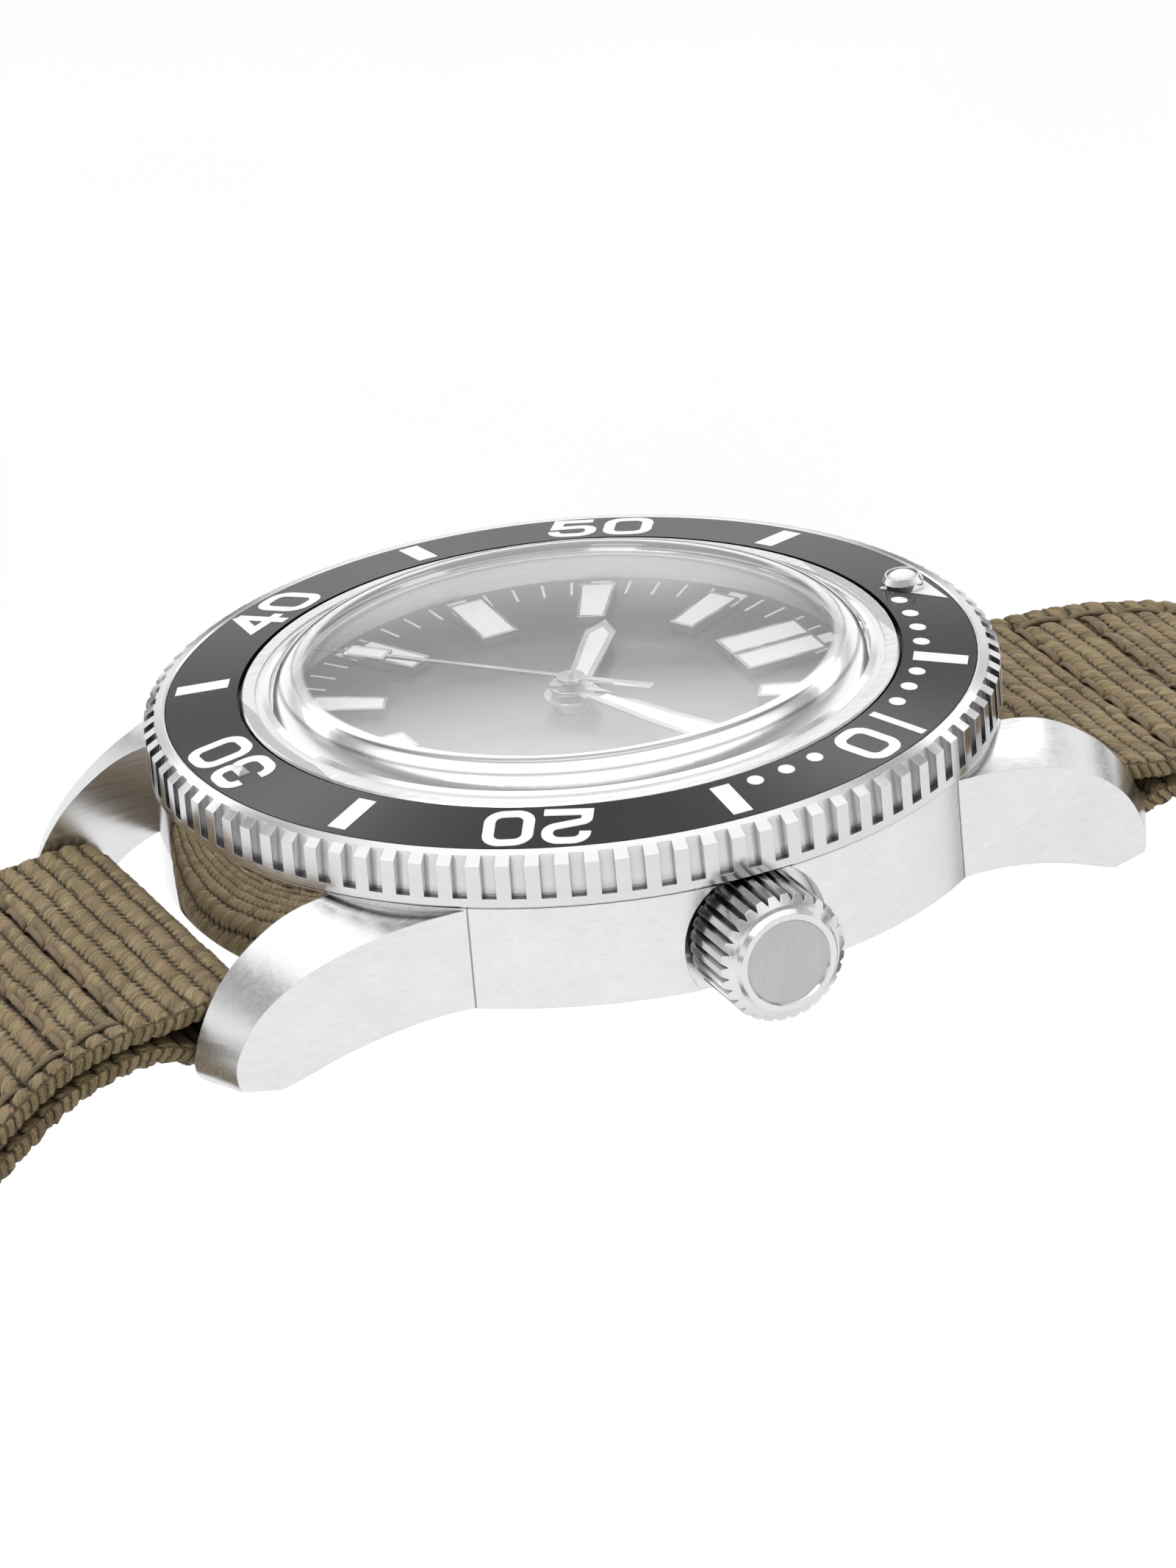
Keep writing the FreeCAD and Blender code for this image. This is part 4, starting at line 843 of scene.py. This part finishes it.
def band(name, line, x0, x1, side, seams=(), reach=None, half=None, holes=()):
    """A woven band along a line in the YZ plane, from x0 to x1, on the side +1 or -1 of the watch.
    reach is each station's distance along the strap, for seams and holes, and half is the strap's
    half width there."""
    ring_x, ring_up, out_x, out_up = section(x0, x1)
    rows, cols = len(line), ring_x.shape[1]
    x = np.repeat(ring_x, rows, 0)
    if half is not None:
        limit = half[:, None] - TAPER
        room = np.maximum(STRAP_HALF - limit, 1e-6)
        squeezed = np.sign(x) * (limit + (np.abs(x) - limit) * TAPER / room)
        x = np.where(np.abs(x) <= limit, x, squeezed)
    wrap = SIDE_SLANT * ring_up / (PLY / 2) * np.abs(out_x)
    split = 1 + (np.abs(out_x) > 0.45)
    along = (np.repeat(distances(line)[:, None], cols, 1) - wrap) * split
    edge = np.clip((np.abs(x) - (STRAP_HALF - SELVEDGE)) / 0.5, 0, 1)
    height, counts = weave(along, x, edge)
    lift = height * (0.6 + 0.4 * np.abs(out_up))
    sunk = 0 * x
    if len(seams):
        sunk = seam_dip(x, np.repeat(reach[:, None], cols, 1), seams) * (out_up > 0.5)
        lift = lift - SEAM_DEPTH * sunk
    out = ring_up + out_up * lift
    across = normals(line, False)
    verts = np.stack([x + out_x * lift, (line[:, 0:1] + across[:, 0:1] * out) * side,
                      line[:, 1:2] + across[:, 1:2] * out], 2)
    faces = tube_faces(rows, cols, False)
    if side > 0:
        faces = faces[:, ::-1]
    if len(holes):
        flat = np.stack([x.ravel(), np.repeat(reach, cols)], 1)
        middle = flat[faces].mean(1)
        for place in holes:
            keep = np.hypot(middle[:, 0], middle[:, 1] - place) > HOLE_R
            faces, middle = faces[keep], middle[keep]
    quads = [faces]
    for start in (0, (rows - 1) * cols):
        cap = np.array([(k, k + 1, cols - 2 - k, cols - 1 - k) for k in range(cols // 2 - 1)]) + start
        quads.append(cap[:, ::-1] if (start == 0) == (side > 0) else cap)
    piece = make_mesh(name, verts.reshape(-1, 3), np.concatenate(quads), "webbing")
    add_values(piece, "sunk", sunk)
    add_vectors(piece, "weave", counts)
    return piece


def reach_of(chain, line):
    """Each station's distance along the strap, from the nearest point of its middle line."""
    places = np.linspace(0, chain_length(chain), 1200)
    middle = np.array([chain_point(chain, s)[:2] for s in places])
    return places[[int(np.argmin(((middle - p) ** 2).sum(1))) for p in line]]


def stitch_row(verts, faces, counts, start, end, frame_at):
    """Sewing stitches from start to end; frame_at(place) gives a point on the cloth and its normal."""
    count = int(round(abs(end - start) / STITCH))
    for k in range(count):
        a = start + (end - start) * (k + STITCH_GAP) / count
        b = start + (end - start) * (k + 1 - STITCH_GAP) / count
        centres = []
        for i in range(STITCH_STEPS + 1):
            share = i / STITCH_STEPS
            p, n = frame_at(a + (b - a) * share)
            rise = -STITCH_SUNK + STITCH_RISE * math.sin(PI * share) ** 0.35
            centres.append((p + n * rise, n))
        first = len(verts)
        for i, (p, n) in enumerate(centres):
            ahead = centres[min(i + 1, STITCH_STEPS)][0] - centres[max(i - 1, 0)][0]
            ahead = ahead / np.linalg.norm(ahead)
            cross = np.cross(ahead, n)
            cross /= np.linalg.norm(cross)
            up = np.cross(cross, ahead)
            for m in range(THREAD_SIDES):
                t = 2 * PI * m / THREAD_SIDES
                twist = 1 + 0.1 * math.cos(2 * t + i * 1.1)
                verts.append(p + (cross * math.cos(t) * THREAD_WIDE + up * math.sin(t) * THREAD_TALL)
                             * THREAD_R * twist)
                counts.append((2 * m / THREAD_SIDES + 0.45 * i, k + 0.5, 0))
        sides = tube_faces(STITCH_STEPS + 1, THREAD_SIDES, False)[:, (0, 3, 2, 1)] + first
        faces += [tuple(face) for face in sides.tolist()]
        faces.append(tuple(first + m for m in range(THREAD_SIDES)))
        faces.append(tuple(len(verts) - 1 - m for m in range(THREAD_SIDES)))


def strap_frame(chain, side, face, x, s):
    """A point on a strap's outer face, +1 over or -1 under, and its normal."""
    y, z, a = chain_point(chain, s)
    d = (ply_offset(chain, s) + PLY / 2) * face
    point = np.array([x, (y - d * math.sin(a)) * side, z + d * math.cos(a)])
    return point, np.array([0, -math.sin(a) * face * side, math.cos(a) * face])


def make_stitching(name, chain, side, crosses, end, body):
    verts, faces, counts = [], [], []
    for face in (1, -1):
        for s in crosses:
            stitch_row(verts, faces, counts, -SEAM_X, SEAM_X,
                       lambda x: strap_frame(chain, side, face, x, s))
        for x in (-SEAM_X, SEAM_X):
            stitch_row(verts, faces, counts, crosses[0], end,
                       lambda s: strap_frame(chain, side, face, x, s))
    piece = make_mesh(name, verts, faces, "thread")
    add_vectors(piece, "weave", counts)
    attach(piece, body)


def strap_seams(crosses, end):
    seams = [("cross", s, -SEAM_X, SEAM_X) for s in crosses]
    return seams + [("along", x, crosses[0], end) for x in (-SEAM_X, SEAM_X)]


def make_strap_6():
    length = chain_length(STRAP_6)
    line = folded_line(STRAP_6, 0.0, length - TIP_SHORT, 1)
    reach = reach_of(STRAP_6, line)
    past = np.maximum(reach - (length - TIP_R), 0)
    half = np.minimum(STRAP_HALF, np.sqrt(np.maximum(TIP_R ** 2 - past ** 2, TIP_HALF ** 2)))
    holes = [length - HOLE_END - HOLE_PITCH * k for k in range(HOLES)]
    seams = strap_seams(CROSS_6, length - SEAM_END_6)
    piece = band("strap_6_webbing", line, -STRAP_HALF, STRAP_HALF, -1, seams, reach, half, holes)
    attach(piece, "strap_6")
    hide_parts("strap_6")
    make_stitching("strap_6_stitching", STRAP_6, -1, CROSS_6, length - SEAM_END_6, "strap_6")
    for k, place in enumerate(holes):
        make_eyelet(f"strap_6_eyelet_{k + 1}", place)


def make_eyelet(name, place):
    """Pressed rim that binds a hole through both plies."""
    y, z, a = chain_point(STRAP_6, place)
    face = PLY_MIDDLE + PLY / 2
    profile = [(r, -face - h) for r, h in EYELET[::-1]] + [(r, face + h) for r, h in EYELET]
    verts = []
    for k in range(EYELET_TURNS):
        t = 2 * PI * k / EYELET_TURNS
        for r, h in profile:
            u, v = r * math.cos(t), r * math.sin(t)
            verts.append((u, -(y + v * math.cos(a) - h * math.sin(a)),
                          z + v * math.sin(a) + h * math.cos(a)))
    piece = make_mesh(name, verts, tube_faces(EYELET_TURNS, len(profile), True), "buckle")
    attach(piece, "strap_6")


def make_strap_12():
    length = chain_length(STRAP_12)
    split = length - SLOT_BACK
    line = folded_line(STRAP_12, 0.0, split, 1)
    main = band("strap_12_webbing", line, -STRAP_HALF, STRAP_HALF, 1, strap_seams(CROSS_12, split),
                reach_of(STRAP_12, line))
    pieces = [main]
    line = folded_line(STRAP_12, split - TAB_OVERLAP, length, -1)
    for name, x0, x1 in (("left", -STRAP_HALF, -SLOT_HALF), ("right", SLOT_HALF, STRAP_HALF)):
        pieces.append(band(f"strap_12_tab_{name}", line, x0, x1, 1))
    for piece in pieces:
        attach(piece, "strap_12")
    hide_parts("strap_12")
    make_stitching("strap_12_stitching", STRAP_12, 1, CROSS_12, split, "strap_12")


def make_keeper(name, node, body, back):
    """A narrow woven loop round the strap, at a distance back from the buckle's bar."""
    y, z, a = chain_point(STRAP_12, chain_length(STRAP_12) - back)
    half = STRAP_HALF + KEEPER_GAP + KEEPER_WALL / 2
    low = -STRAP_RISE - KEEPER_GAP - KEEPER_WALL / 2
    top = STRAP_RISE + KEEPER_ROOM + KEEPER_WALL / 2
    corners = [(-half, low), (half, low), (half, top), (-half, top)]
    path = rounded(corners, (KEEPER_CORNER,) * 4, True, 12)
    line = []
    for k, p in enumerate(path):
        q = path[(k + 1) % len(path)]
        parts = max(1, int(np.linalg.norm(q - p) / STEP))
        line += [p + (q - p) * i / parts for i in range(parts)]
    line = np.array(line)
    across = normals(line, True)
    ring_x, ring_up, out_x, out_up = section(-KEEPER_WIDTH / 2, KEEPER_WIDTH / 2)
    rows, cols = len(line), ring_x.shape[1]
    w = np.repeat(ring_x, rows, 0)
    t = np.repeat(distances(line)[:, None], cols, 1)
    height, counts = weave(t * KEEPER_WEAVE[0], w * KEEPER_WEAVE[1], 0 * w)
    lift = height * 0.8 * (0.35 + 0.65 * np.abs(out_up))
    out = ring_up * KEEPER_WALL / PLY + out_up * lift
    up = line[:, 1:2] + across[:, 1:2] * out
    along = w + out_x * lift
    verts = np.stack([line[:, 0:1] + across[:, 0:1] * out, y + along * math.cos(a) - up * math.sin(a),
                      z + along * math.sin(a) + up * math.cos(a)], 2)
    piece = make_mesh(name, verts.reshape(-1, 3), tube_faces(rows, cols, True), "webbing")
    add_vectors(piece, "weave", counts)
    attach(piece, body)
    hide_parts(node)


# ---------- stage ----------

CAMERA_AZIMUTH = -22.157           # degrees round from the crown, towards 6 o'clock
CAMERA_ELEVATION = 24.046
CAMERA_ROLL = -5.1245
CAMERA_DISTANCE = 493.03
CAMERA_TARGET = (1.286, -0.142, 5.21)
CAMERA_LENS = 249.22
LONG_SIDE = 36.0                   # the sensor's height

# The world's brightness by height, 0 level and 1 overhead, and the glow that stands part of the
# way up, opposite the camera.
BASE_STRENGTH = 1.32
BASE_TONES = [(0.0, 0.14), (0.06, 0.2), (0.13, 0.85), (0.3, 0.76), (0.42, 0.42), (0.6, 0.28),
              (0.7, 0.36), (0.79, 0.98), (1.0, 1.0)]
GLOW_STRENGTH = 3.2
GLOW_TONES = [(0.38, 0.0), (0.46, 0.12), (0.53, 0.65), (0.57, 0.8), (0.61, 0.2), (0.65, 0.02)]
GLOW_SIDE = (-0.926, 0.377, 0)
GLOW_START, GLOW_FULL = 0.45, 0.95  # cosines of the angle from the glow's middle

# The lamp and the floor are in metres.
LAMP_PLACE = (0.15, -0.45, 0.75)
LAMP_SIZE = 0.3
LAMP_POWER = 1.2                   # watts
FLOOR_SIZE = 6
FLOOR_GAP = 0.002                  # below the lowest part of the strap


def make_camera():
    data = bpy.data.cameras.new("camera")
    data.sensor_fit = "VERTICAL"
    data.sensor_width = data.sensor_height = LONG_SIDE
    data.lens = CAMERA_LENS
    data.clip_start, data.clip_end = 0.01, 20
    camera = bpy.data.objects.new("camera", data)
    bpy.context.scene.collection.objects.link(camera)
    az, el, roll = (math.radians(v) for v in (CAMERA_AZIMUTH, CAMERA_ELEVATION, CAMERA_ROLL))
    back = Vector((math.cos(el) * math.cos(az), math.cos(el) * math.sin(az), math.sin(el)))
    level = (-back).cross(Vector((0, 0, 1))).normalized()
    upright_axis = level.cross(-back)
    right = level * math.cos(roll) + upright_axis * math.sin(roll)
    up = upright_axis * math.cos(roll) - level * math.sin(roll)
    place = (Vector(CAMERA_TARGET) + back * CAMERA_DISTANCE) * MM
    turn = Matrix((right, up, back)).transposed().to_4x4()
    camera.matrix_world = Matrix.Translation(place) @ turn
    bpy.context.scene.camera = camera


def make_world():
    """White to the eye, and brighter overhead than low down in what steel and glass mirror."""
    world = bpy.data.worlds.new("studio")
    bpy.context.scene.world = world
    world.use_nodes = True
    w = Nodes(world.node_tree)
    sky = w.add("TexCoord").outputs["Generated"]
    z = w.separate(sky)[2]
    level = w.vector_maths("NORMALIZE", w.vector_maths("MULTIPLY", sky, (1, 1, 0)))
    behind = w.add("VectorMath", {0: level, 1: GLOW_SIDE}, operation="DOT_PRODUCT").outputs["Value"]
    around = w.add("MapRange", {0: behind, 1: GLOW_START, 2: GLOW_FULL},
                   interpolation_type="SMOOTHSTEP").outputs[0]
    glow = w.scaled(w.scaled(w.ramp(z, GLOW_TONES), around), GLOW_STRENGTH)
    base = w.scaled(w.ramp(z, BASE_TONES), BASE_STRENGTH)
    studio = w.add("Background", {0: w.vector_maths("ADD", base, glow)}).outputs[0]
    plain = w.add("Background", {0: (1, 1, 1, 1)}).outputs[0]
    eye = w.add("LightPath").outputs["Is Camera Ray"]
    mix = w.add("MixShader", {0: eye, 1: studio, 2: plain})
    w.links.new(mix.outputs[0], w.nodes["World Output"].inputs["Surface"])


def make_lamp():
    data = bpy.data.lights.new("key", "AREA")
    data.shape = "RECTANGLE"
    data.size = data.size_y = LAMP_SIZE
    data.energy = LAMP_POWER
    lamp = bpy.data.objects.new("key", data)
    bpy.context.scene.collection.objects.link(lamp)
    lamp.location = LAMP_PLACE
    lamp.rotation_mode = "QUATERNION"
    lamp.rotation_quaternion = (-Vector(LAMP_PLACE)).to_track_quat("-Z", "Y")


def make_floor():
    """A floor that hides nothing from below."""
    s = Surface("pale_floor", Metallic=0.0, Roughness=0.8)
    soft = s.noise(s.place(), (0.01, 0.01, 0.01), 2.0)
    s.feed(s.shade(soft, 0.93, 0.95), "Base Color")
    under = s.add("NewGeometry").outputs["Backfacing"]
    clear = s.add("MixShader", {0: under, 1: s.shader.outputs[0], 2: s.add("BsdfTransparent").outputs[0]})
    s.links.new(clear.outputs[0], s.output.inputs["Surface"])
    bpy.ops.mesh.primitive_plane_add(size=FLOOR_SIZE, location=(0, 0, CAD_BOX[0].z - FLOOR_GAP))
    floor = bpy.context.object
    floor.name = "floor"
    floor.data.materials.append(s.material)


def make_stage():
    make_camera()
    make_world()
    make_floor()
    make_lamp()
    scene = bpy.context.scene
    scene.view_settings.view_transform = "Standard"
    scene.view_settings.look = "None"


dress_cad_nodes()
make_bezel_marks()
make_dial_print()
make_strap_6()
make_strap_12()
make_keeper("fixed_keeper_webbing", "fixed_keeper", "strap_12", 10.0)
make_keeper("sliding_keeper_webbing", "sliding_keeper", "sliding_keeper", 16.5)
make_stage()
